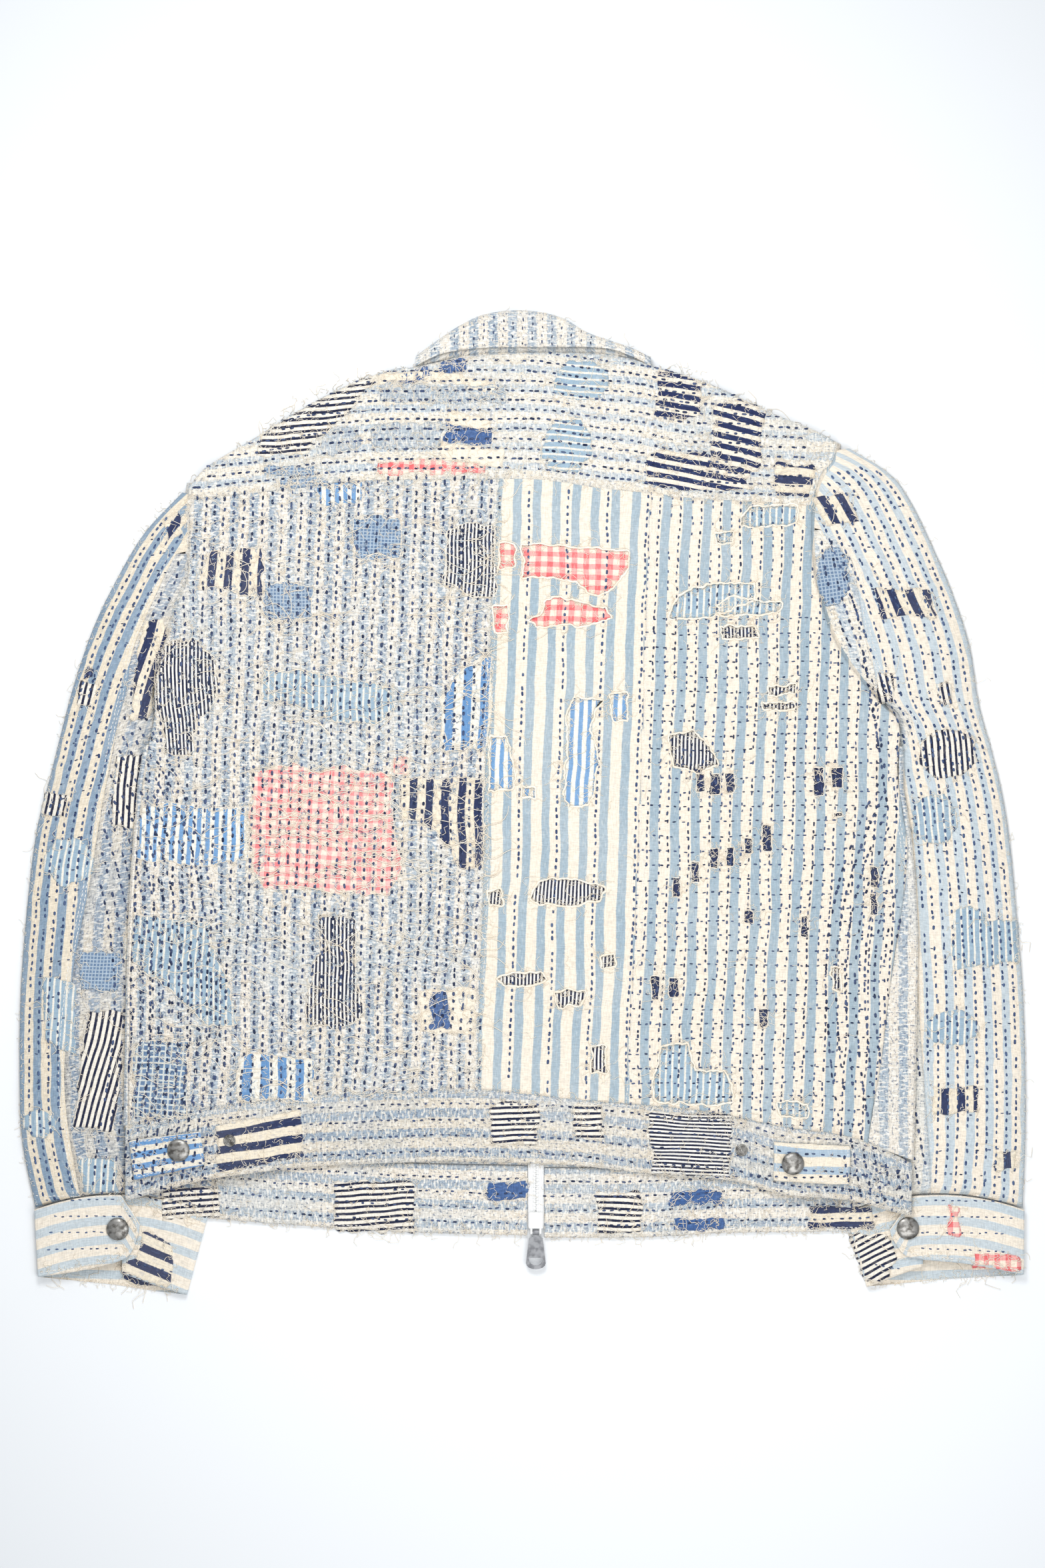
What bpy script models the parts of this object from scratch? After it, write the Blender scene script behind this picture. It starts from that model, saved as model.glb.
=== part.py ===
# Patched boro jacket, laid flat on its front with its back upwards.
# Tables and constants are in millimetres, and the meshes are made in metres.
# +Z is up, +Y runs from the hem to the collar, and +X is to the right seen from above.
import bisect
import math

import bmesh
import bpy
from mathutils import Vector

MM = 0.001

# Cloth and seams
CLOTH = 2.6  # worn cloth on its backing, stitched through
CUFF_CLOTH = 2.3
GAP = 0.35  # air between two pieces at a seam
RIDGE = 0.45  # height of the stitched stripe ridges
RIM = 3.4  # width of an edge that is turned down

# Heights of the layers
SLEEVE_BASE = 5.8  # the pressed sleeve below the body's edge
SLEEVE_PUFF = 2.5  # how much fuller it is where it lies free
PUFF_RUN = 25.0
BAND_RIM = 8.5  # the waistband's ends are turned down to the cuffs
SIDE_LIFT = 6.8  # the fronts lie this high over the sleeves
LIFT_AHEAD = 14.0
LIFT_RUN = 45.0
BODY_GAP = 0.7  # air between front and back at the sides
BODY_PUFF = 2.8  # more air between them in the middle
RAMP_AIR = 1.4
EDGE_FADE = 42.0

# Zip and snaps
ZIP_X = 10.0
TAPE_HALF = 6.0
TAPE_BOTTOM = -318.0
TAPE_TOP = 283.0
TAPE_LOW = 0.6
TAPE_THICK = 1.6
CAP_RADIUS = 8.4
CAP_HEIGHT = 3.0
SOCKET_RADIUS = 4.6
SOCKET_BORE = 1.7
SLIDER_HALF = 5.4
SLIDER_LENGTH = 12.5
SLIDER_END = -318.6
SLIDER_TOP = 6.2
LUG_X = 3.4
LUG_HALF = 0.7
LUG_RADIUS = 1.6

# The pull tab turns about this axis along X
PIVOT_Y = -321.4
PIVOT_Z = 4.4
KNUCKLE_RADIUS = 2.1
KNUCKLE_HALF = 2.3
PIN_RADIUS = 0.7
BORE_RADIUS = 1.0
PULL_HALF_THICK = 0.9
PULL_ROUND_Y = -23.0  # where the pull's rounded end starts, from its pivot
PULL_ROUND_HALF = 7.4
PULL_ROUND_DEEP = 4.6
MOON_TOP = -19.0
MOON_START = -20.2
MOON_HALF = 5.2
ARC_STEPS = 8

CREAM = (0.86, 0.80, 0.68)
BORO = (0.70, 0.69, 0.65)
BLUE = (0.46, 0.56, 0.68)
NAVY = (0.05, 0.07, 0.16)
RED = (0.85, 0.33, 0.32)
STEEL = (0.62, 0.62, 0.61)
WHITE = (0.85, 0.85, 0.84)

# Where each sleeve's inner fold runs below the body: y, distance from the middle
LEFT_FOLD = [(-330, 238), (-309, 236), (-250, 230), (-190, 222), (-120, 220), (-50, 230),
             (10, 248), (45, 266), (77, 278), (100, 302), (150, 352), (420, 640)]
RIGHT_FOLD = [(-330, 243), (-309, 241), (-250, 232), (-190, 224), (-120, 221), (-60, 230),
              (-5, 250), (30, 268), (62, 283), (86, 308), (136, 358), (420, 650)]

# The body's free edge over each sleeve: y, distance from the middle
LEFT_EDGE = [(-310, 297), (-247, 299), (-66, 294), (24, 287), (77, 278), (102, 272), (130, 264),
             (147, 259), (167, 251), (182, 250), (237, 250), (300, 250)]
RIGHT_EDGE = [(-310, 292), (-158, 295), (-68, 295), (-24, 291), (26, 284), (62, 283), (81, 262),
              (96, 250), (130, 230), (152, 223), (173, 218), (223, 216), (247, 224), (300, 240)]

# The shoulders and the neck seam from left to right: x, y
SHOULDER = [(-250, 237), (-236, 252), (-203, 272), (-171, 292), (-133, 312), (-97, 325),
            (-80, 326.6), (-62, 330.6), (-48, 333.6), (-29, 336.1), (0, 336.9), (29, 336.9),
            (48, 336.6), (66, 335.6), (82, 332.4), (97, 327.4), (120, 321), (145, 312),
            (187, 292), (218, 279.5), (236, 270)]
NECK_LEFT = -100.0
NECK_RIGHT = 115.0

# Yoke seam from left to right: x, y
YOKE_SEAM = [(-250, 230), (-187, 236), (-153, 241), (-112, 244), (-65, 244.6), (-16, 245)]
YOKE_SEAM_RIGHT = [(-16, 245), (17, 244), (58, 238), (91, 234.5), (114, 229.5), (169, 226),
                   (217, 223)]

CENTRE_BACK = [(-16, 245), (-16.5, 229.5), (-21, 165), (-23, 112), (-27, 7.5), (-28, -68),
               (-31, -144.5), (-32, -214)]

BACK_LEFT_SIDE = [(-250, 230), (-249, 202), (-250, 182), (-251, 167), (-259, 147), (-264, 130),
                  (-272, 102), (-275, 84), (-275, 66), (-279, 45), (-283, 24), (-286.5, -12),
                  (-290.5, -66), (-292.5, -120), (-294, -180), (-295, -241)]
BACK_RIGHT_SIDE = [(217, 223), (216, 202), (218, 173), (223, 152), (230, 130), (239, 112),
                   (250, 96), (262, 81), (271, 71), (279.5, 63.5), (282, 52), (280, 26),
                   (284, -6), (287, -24), (287.5, -40), (285, -68), (278, -113), (272, -158),
                   (268, -192), (262, -226), (258, -254.5)]

WAIST_TOP_LEFT = [(-295, -241), (-227, -227), (-156, -220), (-78, -216), (-32, -214)]
WAIST_TOP_RIGHT = [(-32, -214), (36, -221), (92, -225.5), (136, -230), (192, -241), (248, -250),
                   (258, -254.5)]
WAIST_TOP = [(-297, -241.5), (-227, -227), (-156, -220), (-78, -216), (-32, -214), (36, -221),
             (92, -225.5), (136, -230), (192, -241), (248, -250), (291, -270)]
WAIST_LOW = [(-297, -297), (-234, -281), (-156, -272), (-89, -269), (-56, -268), (36, -271),
             (92, -277), (159, -283), (192, -292), (246, -297), (276, -305), (291, -308)]

# Where the body's side folds under: y, distance from the middle
SIDE_FOLD_LEFT = [(-245, 298.6), (-180, 297.5), (-120, 296), (-66, 294), (-12, 290), (24, 287),
                  (45, 282.8), (66, 279)]
SIDE_FOLD_RIGHT = [(-269, 292.5), (-234, 293.5), (-194, 294.5), (-156, 295), (-110, 296),
                   (-68, 295), (-40, 292), (-24, 291), (-6, 287.6), (26, 283.8), (52, 286)]
SIDE_TOP = 62.0
SIDE_DROP_LEFT = 0.0  # how much lower the fold ends than the seam
SIDE_DROP_RIGHT = 12.0
SIDE_UNDER = 8.0
SIDE_INSET = 4.0  # the heights are read this far inside the fold
SIDE_ROUND = 2.0

# Front panels, from the armhole to the zip
FRONT_LEFT_TOP = [(-246, 231), (-233, 247), (-201, 267), (-169, 287), (-131, 307.5), (-96, 320),
                  (-82, 320), (-60, 309), (-38, 295), (-15, 286), (3.7, 284)]
FRONT_LEFT_SIDE = [(-246, 231), (-245, 202), (-246, 180), (-248, 165), (-255, 146),
                   (-260, 128), (-266, 101), (-267.5, 80), (-268.3, 66), (-272.8, 45),
                   (-277.6, 24), (-280.6, -12), (-284.6, -66), (-286.6, -120), (-288.2, -180),
                   (-289.2, -242.5)]
FRONT_LEFT_LOW = [(-289.2, -242.5), (-223, -255), (-156, -264.5), (-89, -269), (3.7, -271)]
FRONT_RIGHT_TOP = [(16.3, 284), (35, 287), (60, 299), (82, 314), (97, 321), (118, 316),
                   (143, 307), (185, 287), (228, 266), (231.5, 258)]
FRONT_RIGHT_SIDE = [(231.5, 258), (219, 243), (214, 232), (212, 222), (211.5, 202), (213.5, 172),
                    (218.5, 150), (225.5, 127), (234.5, 108.5), (245.5, 92), (257.5, 77),
                    (266.5, 66.5), (273, 58), (275, 50), (272.5, 26), (277, -6), (281, -24),
                    (282.4, -40), (285.4, -68), (286.4, -110), (285.4, -156), (284.9, -194),
                    (283.9, -234), (283, -268)]
FRONT_RIGHT_LOW = [(16.3, -272.5), (92, -272.5), (148, -270), (214, -268.5), (283, -268)]
BAND_LEFT_TOP = [(-292.6, -243.3), (-223, -256), (-156, -265.3), (-89, -269.7), (3.7, -271.7)]
BAND_LEFT_LOW = [(-292.6, -299), (-283, -303), (-270, -307), (-223, -312), (-156, -317),
                 (-89, -321), (-30, -323), (3.7, -323.5)]
BAND_RIGHT_TOP = [(16.3, -273.3), (92, -273.3), (148, -270.8), (214, -269.3), (286.4, -268.8)]
BAND_RIGHT_LOW = [(16.3, -325.5), (92, -325), (148, -322), (214, -321), (264, -319), (275, -314),
                  (286.4, -300)]

# Collar: x, neck seam y, edge of the fall y, top fold y, front neckline y
COLLAR = [(-80, 327, 329.5, 335, 321), (-62, 331, 338, 348, 310.5), (-48, 334, 341, 357, 302),
          (-29, 336.5, 343, 365.5, 291.5), (0, 337.3, 343.5, 368.5, 285),
          (29, 337.3, 343.5, 363.5, 286), (48, 337, 343.5, 353, 293), (66, 336, 342, 346.5, 303),
          (82, 332.8, 336.5, 341, 314.5), (96, 327.9, 329.5, 334, 321.5)]
STAND_LOW = 3.1
STAND_THICK = 2.3
FALL_AIR = 0.4
COLLAR_SEAM = 0.7
NECKLINE_SEAM = 2.0
LEAF_INSET = 3
COLLAR_COLUMNS = 23
COLLAR_ROUND = 2.0

# Sleeves from the shoulder to the cuff: inner x and y, outer x and y
SLEEVE_LEFT = [(-251.6, 232, -255, 233), (-251.2, 204, -283, 203), (-253.5, 168, -303, 170),
               (-267, 131, -321, 133), (-274.8, 101, -335, 93), (-280, 77, -344, 60),
               (-266, 45, -354, 20), (-248, 10, -364, -20), (-230, -50, -371, -75),
               (-220, -120, -376, -140), (-222, -190, -377, -200), (-230, -250, -375, -252),
               (-236, -306, -365, -303)]
SLEEVE_RIGHT = [(238.6, 265, 245, 266), (227, 245, 275, 247), (219.5, 222, 291, 226),
                (218.5, 190, 307, 193), (225.5, 155, 322, 158), (241, 114, 335, 118),
                (264.5, 83, 342, 75), (286, 62, 351.5, 40), (268, 30, 360, 5),
                (250, -5, 366, -35), (230, -60, 371, -90), (221, -120, 375, -140),
                (224, -190, 377, -200), (232, -250, 377, -250), (241, -306, 375, -303)]
# Upper seam between the two pieces of each sleeve: y, distance from the middle
SEAM_LEFT = [(-300, 332), (-248, 340), (-203, 343), (-125, 336), (-60, 324), (-3, 315), (33, 308),
             (60, 303), (88, 296), (117, 291), (166, 270), (182, 262), (200, 251)]
SEAM_RIGHT = [(-300, 306), (-277, 305), (-147, 296), (-80, 290), (0, 276), (80, 268), (119, 258),
              (160, 251), (178, 248), (195, 237), (204, 218)]
UNDER_START_LEFT = 0.12  # how far down the sleeve the under piece begins
UNDER_START_RIGHT = 0.18
LOWER_SEAM = 0.45  # where the seam on the floor side runs across the sleeve

# Cuff strips wound from the pointed end on top, round the outer fold, below, and up again:
# upper edge x and y, lower edge x and y, height; an upper edge stays below its sleeve
CUFF_LEFT = [(-286.5, -315, -287.5, -322, 5.6), (-295, -301.5, -293, -336, 5.6),
             (-306, -290, -303, -343, 5.6), (-335, -290, -332, -350, 5.6),
             (-362, -290, -359.5, -354, 5.6), (-365.5, -290, -362.5, -354.5, 2.8),
             (-362, -290, -359.5, -355.5, 0.0), (-335, -290, -334, -358, 0.0),
             (-305, -290, -306, -361, 0.0), (-272, -290, -280, -365, 0.0),
             (-240, -290, -256, -368, 0.0), (-235.5, -290, -251.5, -368.5, 1.4),
             (-240, -290, -256, -367, 2.8), (-270, -290, -275, -361, 2.8),
             (-300, -290, -300, -352, 2.8)]
CUFF_RIGHT = [(275, -319, 276.5, -325, 5.6), (284, -306, 285, -337, 5.6),
              (294, -290, 297, -341, 5.6), (335, -290, 335, -345, 5.6),
              (371, -290, 371, -352, 5.6), (375.5, -290, 375, -353, 2.8),
              (371, -290, 371, -354, 0.0), (345, -290, 345, -355, 0.0),
              (310, -290, 308, -357.5, 0.0), (278, -290, 284, -360, 0.0),
              (247, -290, 262, -362, 0.0), (242.5, -290, 258, -362.5, 1.4),
              (247, -290, 262, -361, 2.8), (270, -290, 280, -354, 2.8),
              (300, -290, 300, -347, 2.8)]
CUFF_BOW = 12.5  # how far the cuff seam bows up in the middle
CUFF_SEAM = 1.1
CUFF_LEAF = 5.6  # underside of the top leaf

# Tabs: corners from the upper left, clockwise
TAB_LEFT = [(-294, -252), (-241, -245), (-237, -270), (-290, -281)]
TAB_RIGHT = [(188, -253), (245, -256), (244, -285), (188, -282)]
TAB_THICK = 2.2
TAB_AIR = 0.9

# Main creases: start x and y, end x and y, half width, height
CREASES = [(266, 188, 273, 163, 5, 0.8), (262, 162, 308, 162, 6, 0.7),
           (40, 220, 212, 214, 7, 0.6), (10, -30, 250, -34, 8, 0.5),
           (20, -145, 262, -150, 8, 0.6), (-330, 40, -352, -60, 9, 0.8),
           (-250, -60, -120, -90, 14, 0.6), (-210, 150, -160, 60, 14, 0.6),
           (320, -20, 345, -160, 9, 0.8), (-350, -205, -310, -235, 8, 0.7)]

# Patches on the left back: name, colour, first and last column, first and last row
PATCHES = [("patch_navy_stripe_upper", NAVY, 2, 8, 2, 3),
           ("patch_blue_check_upper", BLUE, 16, 21, 1, 2),
           ("patch_ticking_upper", NAVY, 25, 29, 1, 3),
           ("patch_light_ticking_middle", BLUE, 10, 21, 5, 8),
           ("patch_blue_stripe_middle", BLUE, 26, 29, 5, 8),
           ("patch_red_gingham", RED, 11, 22, 9, 12),
           ("patch_navy_stripe_lower", NAVY, 23, 29, 9, 11),
           ("patch_light_ticking_lower", BLUE, 2, 9, 12, 14),
           ("patch_ticking_lower", NAVY, 15, 20, 13, 15),
           ("patch_blue_check_lower", BLUE, 2, 6, 15, 16),
           ("patch_blue_stripe_lower", BLUE, 10, 14, 15, 16)]
PATCH_AIR = 0.35
PATCH_THICK = 1.0

# Rows and columns of the panels, and their sizes where the seams' air is shared out
BACK_COLUMNS = 30
BACK_WIDTH = 260.0
BACK_LENGTH = 460.0
BACK_STEPS = [0.0, 0.06, 0.12, 0.18, 0.24, 0.29, 0.33, 0.36, 0.4, 0.46, 0.53, 0.6, 0.68, 0.76, 0.84,
              0.92, 1.0]
YOKE_COLUMNS = 26
YOKE_ROWS = 12
YOKE_WIDTH = 490.0
YOKE_DEPTH = 90.0
YOKE_SEAM_AIR = 0.7
FRONT_ROWS = 14
FRONT_LENGTH = 500.0
BAND_DEPTH = 56.0
BAND_SEAM_AIR = 1.3
SLEEVE_ROWS = 17
OUTER_COLUMNS = 12
UNDER_COLUMNS = 6
FRONT_STEPS = [0.0, 0.02, 0.05, 0.09, 0.13, 0.17, 0.21, 0.25, 0.3, 0.4, 0.52,
               0.64, 0.74, 0.82, 0.89, 0.95, 1.0]
BAND_STEPS = [0.0, 0.006, 0.035, 0.055, 0.075, 0.095, 0.115, 0.135, 0.155, 0.175, 0.195, 0.215,
              0.25, 0.3, 0.36, 0.43, 0.5]


def clear_scene():
    for item in list(bpy.data.objects):
        bpy.data.objects.remove(item)


def soft_step(value):
    value = min(1.0, max(0.0, value))
    return value * value * (3.0 - 2.0 * value)


# A smooth curve through the values at rising keys, held at its ends
def spline(keys, values):
    last = len(keys) - 1
    slopes = []
    for i in range(len(keys)):
        low = max(0, i - 1)
        high = min(last, i + 1)
        slopes.append((values[high] - values[low]) * (1.0 / (keys[high] - keys[low])))

    def at(key):
        key = min(keys[-1], max(keys[0], key))
        i = min(last - 1, max(0, bisect.bisect_right(keys, key) - 1))
        span = keys[i + 1] - keys[i]
        t = (key - keys[i]) / span
        rise = t * t * (3.0 - 2.0 * t)
        start = values[i] * (1.0 - rise) + values[i + 1] * rise
        bend = slopes[i] * (t * (1.0 - t) ** 2) - slopes[i + 1] * (t * t * (1.0 - t))
        return start + bend * span

    return at


# A curve through points, run from 0 to 1 by its length
def path(points):
    spots = [Vector(point) for point in points]
    reach = [0.0]
    for first, second in zip(spots, spots[1:]):
        reach.append(reach[-1] + (second - first).length)
    return spline([length / reach[-1] for length in reach], spots)


# A curve that reads the second column at a value of the first
def reading(rows):
    rows = sorted(rows)
    return spline([row[0] for row in rows], [float(row[1]) for row in rows])


# A patch of cloth between four edge curves: u runs left to right, v top to bottom
def between(top, bottom, left, right):
    def place(u, v):
        across = top(u).lerp(bottom(u), v)
        down = left(v).lerp(right(v), u)
        corners = top(0.0).lerp(top(1.0), u).lerp(bottom(0.0).lerp(bottom(1.0), u), v)
        return across + down - corners

    return place


left_fold = reading(LEFT_FOLD)
right_fold = reading(RIGHT_FOLD)
left_edge = reading(LEFT_EDGE)
right_edge = reading(RIGHT_EDGE)
shoulder_height = reading(SHOULDER)


# How far the sleeve below has lifted the fronts, from 0 to 1
def lifted(x, y):
    fold = left_fold(y) if x < 0 else right_fold(y)
    start = fold - LIFT_AHEAD - LIFT_RUN
    return soft_step((abs(x) - start) / LIFT_RUN)


def front_low(x, y):
    return SIDE_LIFT * lifted(x, y)


# Underside of the back: above the fronts, fuller in the middle and flat at its edges
def back_low(x, y):
    full = lifted(x, y)
    fade = soft_step((shoulder_height(x) - y) / EDGE_FADE) * soft_step((y + 275.0) / EDGE_FADE)
    puff = BODY_PUFF * (1.0 - full) * fade
    return SIDE_LIFT * full + CLOTH + BODY_GAP + puff + RAMP_AIR * 4.0 * full * (1.0 - full)


def crease_height(x, y):
    height = 0.0
    for x0, y0, x1, y1, half_width, rise in CREASES:
        start = Vector((x0, y0))
        run = Vector((x1, y1)) - start
        along = (Vector((x, y)) - start).dot(run) / run.length_squared
        nearest = start + run * min(1.0, max(0.0, along))
        away = (Vector((x, y)) - nearest).length / half_width
        height = max(height, rise * math.exp(-away * away))
    return height


def sleeve_top(x, y, outer_x):
    edge = left_edge(y) if x < 0 else right_edge(y)
    free = soft_step((abs(x) - edge) / PUFF_RUN)
    turned = soft_step((abs(outer_x) - abs(x)) / PUFF_RUN)
    return SLEEVE_BASE + SLEEVE_PUFF * free * turned


def make_material(name, colour, roughness, metallic):
    material = bpy.data.materials.new(name)
    material.use_nodes = True
    shader = material.node_tree.nodes["Principled BSDF"]
    shader.inputs["Base Color"].default_value = (*colour, 1.0)
    shader.inputs["Roughness"].default_value = roughness
    shader.inputs["Metallic"].default_value = metallic
    return material


def add_object(name, mesh_data, colour, metallic=0.0):
    bmesh.ops.recalc_face_normals(mesh_data, faces=mesh_data.faces)
    mesh = bpy.data.meshes.new(name)
    mesh_data.to_mesh(mesh)
    mesh_data.free()
    roughness = 0.35 if metallic else 0.9
    mesh.materials.append(make_material(name, colour, roughness, metallic))
    item = bpy.data.objects.new(name, mesh)
    bpy.context.scene.collection.objects.link(item)
    return item


# A wall of cloth between two grids of points with the same rows and columns
def add_wall(name, outer, inner, colour):
    mesh_data = bmesh.new()
    sides = []
    for grid in (outer, inner):
        sides.append([[mesh_data.verts.new(Vector(point) * MM) for point in row] for row in grid])
    front, back = sides
    rows = len(outer)
    columns = len(outer[0])
    for i in range(rows - 1):
        for j in range(columns - 1):
            for side in sides:
                corners = (side[i][j], side[i][j + 1], side[i + 1][j + 1], side[i + 1][j])
                mesh_data.faces.new(corners)
    for i in range(rows - 1):
        for j in (0, columns - 1):
            mesh_data.faces.new((front[i][j], front[i + 1][j], back[i + 1][j], back[i][j]))
    for j in range(columns - 1):
        for i in (0, rows - 1):
            mesh_data.faces.new((front[i][j], front[i][j + 1], back[i][j + 1], back[i][j]))
    return add_object(name, mesh_data, colour)


# Even steps from 0 to 1, kept clear of both seams
def seam_steps(count, length, rim_first=False, rim_last=False):
    inset = 0.5 * GAP / length
    steps = [inset + (1.0 - 2.0 * inset) * k / (count - 1) for k in range(count)]
    if rim_first:
        steps.insert(1, inset + RIM / length)
    if rim_last:
        steps.insert(-1, 1.0 - inset - RIM / length)
    return steps


# Points of a panel: its plain underside and its outside with ridges and creases
def panel_grids(place, across, down, low, thick, ridges):
    outer = []
    inner = []
    for i, v in enumerate(down):
        outer_row = []
        inner_row = []
        for j, u in enumerate(across):
            spot = place(u, v)
            bottom = low(spot.x, spot.y)
            raised = ridges(i, j) + crease_height(spot.x, spot.y)
            outer_row.append((spot.x, spot.y, bottom + thick + raised))
            inner_row.append((spot.x, spot.y, bottom))
        outer.append(outer_row)
        inner.append(inner_row)
    return outer, inner


def plain(row, column):
    return 0.0


def upright_ridges(row, column):
    return RIDGE if column % 2 else 0.0


def level_ridges(row, column):
    return RIDGE if row % 2 else 0.0


# Turns the edge of a panel down to a height
def turn_down(inner, spots, height):
    for i, j in spots:
        x, y, z = inner[i][j]
        inner[i][j] = (x, y, min(z, height(x, y)))


# The back's armhole edge reaches the floor, and its side edge stays on the front
def armhole_rim(x, y):
    return max(GAP, front_low(x, y) + (CLOTH + BODY_GAP) * soft_step((120.0 - y) / 40.0))


def make_backs():
    left = between(path(YOKE_SEAM), path(WAIST_TOP_LEFT), path(BACK_LEFT_SIDE), path(CENTRE_BACK))
    across = seam_steps(BACK_COLUMNS, BACK_WIDTH, rim_first=True)
    down = list(BACK_STEPS)
    down[0] = 0.5 * GAP / BACK_LENGTH
    down[-1] = 1.0 - down[0]
    outer, inner = panel_grids(left, across, down, back_low, CLOTH, upright_ridges)
    turn_down(inner, [(i, 0) for i in range(len(inner))], armhole_rim)
    add_wall("back_left", outer, inner, BORO)
    make_side("side_left", [row[0] for row in outer], reading(SIDE_FOLD_LEFT), SIDE_DROP_LEFT)
    for name, colour, first, last, top, low in PATCHES:
        make_patch(name, colour, outer, (first, last), (top, low))
    right = between(path(YOKE_SEAM_RIGHT), path(WAIST_TOP_RIGHT), path(CENTRE_BACK),
                    path(BACK_RIGHT_SIDE))
    across = seam_steps(BACK_COLUMNS, BACK_WIDTH, rim_last=True)
    outer, inner = panel_grids(right, across, down, back_low, CLOTH, upright_ridges)
    last = len(across) - 1
    turn_down(inner, [(i, last) for i in range(len(inner))], armhole_rim)
    add_wall("back_right", outer, inner, CREAM)
    make_side("side_right", [row[-1] for row in outer], reading(SIDE_FOLD_RIGHT), SIDE_DROP_RIGHT)


# A patch is made from the points of the panel below it, moved out
def make_patch(name, colour, panel, columns, rows):
    outer = []
    inner = []
    for i in range(rows[0], rows[1] + 1):
        spots = panel[i][columns[0]:columns[1] + 1]
        outer.append([(x, y, z + PATCH_AIR + PATCH_THICK) for x, y, z in spots])
        inner.append([(x, y, z + PATCH_AIR) for x, y, z in spots])
    add_wall(name, outer, inner, colour)


def make_yoke():
    seam = YOKE_SEAM + YOKE_SEAM_RIGHT[1:]
    right_end = [(236, 270), (232, 256), (224, 247), (219, 234), (217, 223)]
    place = between(path(SHOULDER), path(seam), path([(-250, 237), (-250, 230)]), path(right_end))
    across = seam_steps(YOKE_COLUMNS, YOKE_WIDTH)
    down = seam_steps(YOKE_ROWS, YOKE_DEPTH, rim_first=True)
    down[-1] = 1.0 - YOKE_SEAM_AIR / YOKE_DEPTH
    outer, inner = panel_grids(place, across, down, back_low, CLOTH, level_ridges)
    edge = [(0, j) for j in range(len(across)) if not NECK_LEFT < inner[0][j][0] < NECK_RIGHT]
    turn_down(inner, edge, lambda x, y: GAP)
    add_wall("yoke", outer, inner, BORO)


def make_fronts():
    down = seam_steps(FRONT_ROWS, FRONT_LENGTH)
    left = between(path(FRONT_LEFT_TOP), path(FRONT_LEFT_LOW), path(FRONT_LEFT_SIDE),
                   path([(3.7, 284), (3.7, -271)]))
    outer, inner = panel_grids(left, FRONT_STEPS, down, front_low, CLOTH, plain)
    flatten_creases(outer, inner)
    add_wall("front_left", outer, inner, CREAM)
    right = between(path(FRONT_RIGHT_TOP), path(FRONT_RIGHT_LOW),
                    path([(16.3, 284), (16.3, -272.5)]), path(FRONT_RIGHT_SIDE))
    mirrored = [1.0 - step for step in reversed(FRONT_STEPS)]
    outer, inner = panel_grids(right, mirrored, down, front_low, CLOTH, plain)
    flatten_creases(outer, inner)
    add_wall("front_right", outer, inner, BLUE)


# The hidden fronts carry none of the creases of the back
def flatten_creases(outer, inner):
    for i, row in enumerate(inner):
        for j, (x, y, z) in enumerate(row):
            outer[i][j] = (x, y, z + CLOTH)


# A side panel wraps from the back's edge round the fold to the front's edge
def make_side(name, seam, fold_at, drop):
    side = -1.0 if seam[0][0] < 0 else 1.0
    outer = []
    inner = []
    for seam_x, seam_y, _ in seam:
        if seam_y > SIDE_TOP:
            continue
        fold_y = seam_y - drop * soft_step((-110.0 - seam_y) / 144.0)
        fold_x = side * fold_at(fold_y)
        low = front_low(fold_x - side * SIDE_INSET, fold_y)
        high = back_low(fold_x - side * SIDE_INSET, fold_y) + CLOTH
        middle = 0.5 * (low + high)
        start = seam_x + side * GAP
        round_x = fold_x - side * 0.85 * SIDE_ROUND
        wall_x = fold_x - side * CLOTH
        bend_x = wall_x - side * GAP
        end_x = fold_x - side * SIDE_UNDER
        outer.append([(start, seam_y, high), (round_x, fold_y, high),
                      (fold_x, fold_y, high - SIDE_ROUND), (fold_x, fold_y, low + SIDE_ROUND),
                      (round_x, fold_y, low), (end_x, fold_y, low)])
        inner.append([(start, seam_y, high - CLOTH), (bend_x, fold_y, high - CLOTH),
                      (wall_x, fold_y, middle + 0.1), (wall_x, fold_y, middle - 0.1),
                      (bend_x, fold_y, low + CLOTH), (end_x, fold_y, low + CLOTH)])
    add_wall(name, outer, inner, BORO)


def make_waistband():
    steps = BAND_STEPS + [1.0 - step for step in reversed(BAND_STEPS[:-1])]
    place = between(path(WAIST_TOP), path(WAIST_LOW), path([WAIST_TOP[0], WAIST_LOW[0]]),
                    path([WAIST_TOP[-1], WAIST_LOW[-1]]))
    down = seam_steps(3, BAND_DEPTH)
    down[0] = BAND_SEAM_AIR / BAND_DEPTH
    outer, inner = panel_grids(place, steps, down, back_low, CLOTH, plain)
    last = len(steps) - 1
    ends = [(i, j) for i in range(len(down)) for j in (0, last)]
    turn_down(inner, ends, lambda x, y: BAND_RIM)
    add_wall("waistband_back", outer, inner, BORO)
    halves = [("waistband_front_left", BAND_LEFT_TOP, BAND_LEFT_LOW, False),
              ("waistband_front_right", BAND_RIGHT_TOP, BAND_RIGHT_LOW, True)]
    for name, top, low, right_side in halves:
        place = between(path(top), path(low), path([top[0], low[0]]), path([top[-1], low[-1]]))
        steps = [2.0 * step for step in BAND_STEPS]
        if right_side:
            steps = [1.0 - step for step in reversed(steps)]
        outer, inner = panel_grids(place, steps, [0.0, 0.5, 1.0], front_low, CLOTH, plain)
        flatten_creases(outer, inner)
        add_wall(name, outer, inner, BORO)


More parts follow.
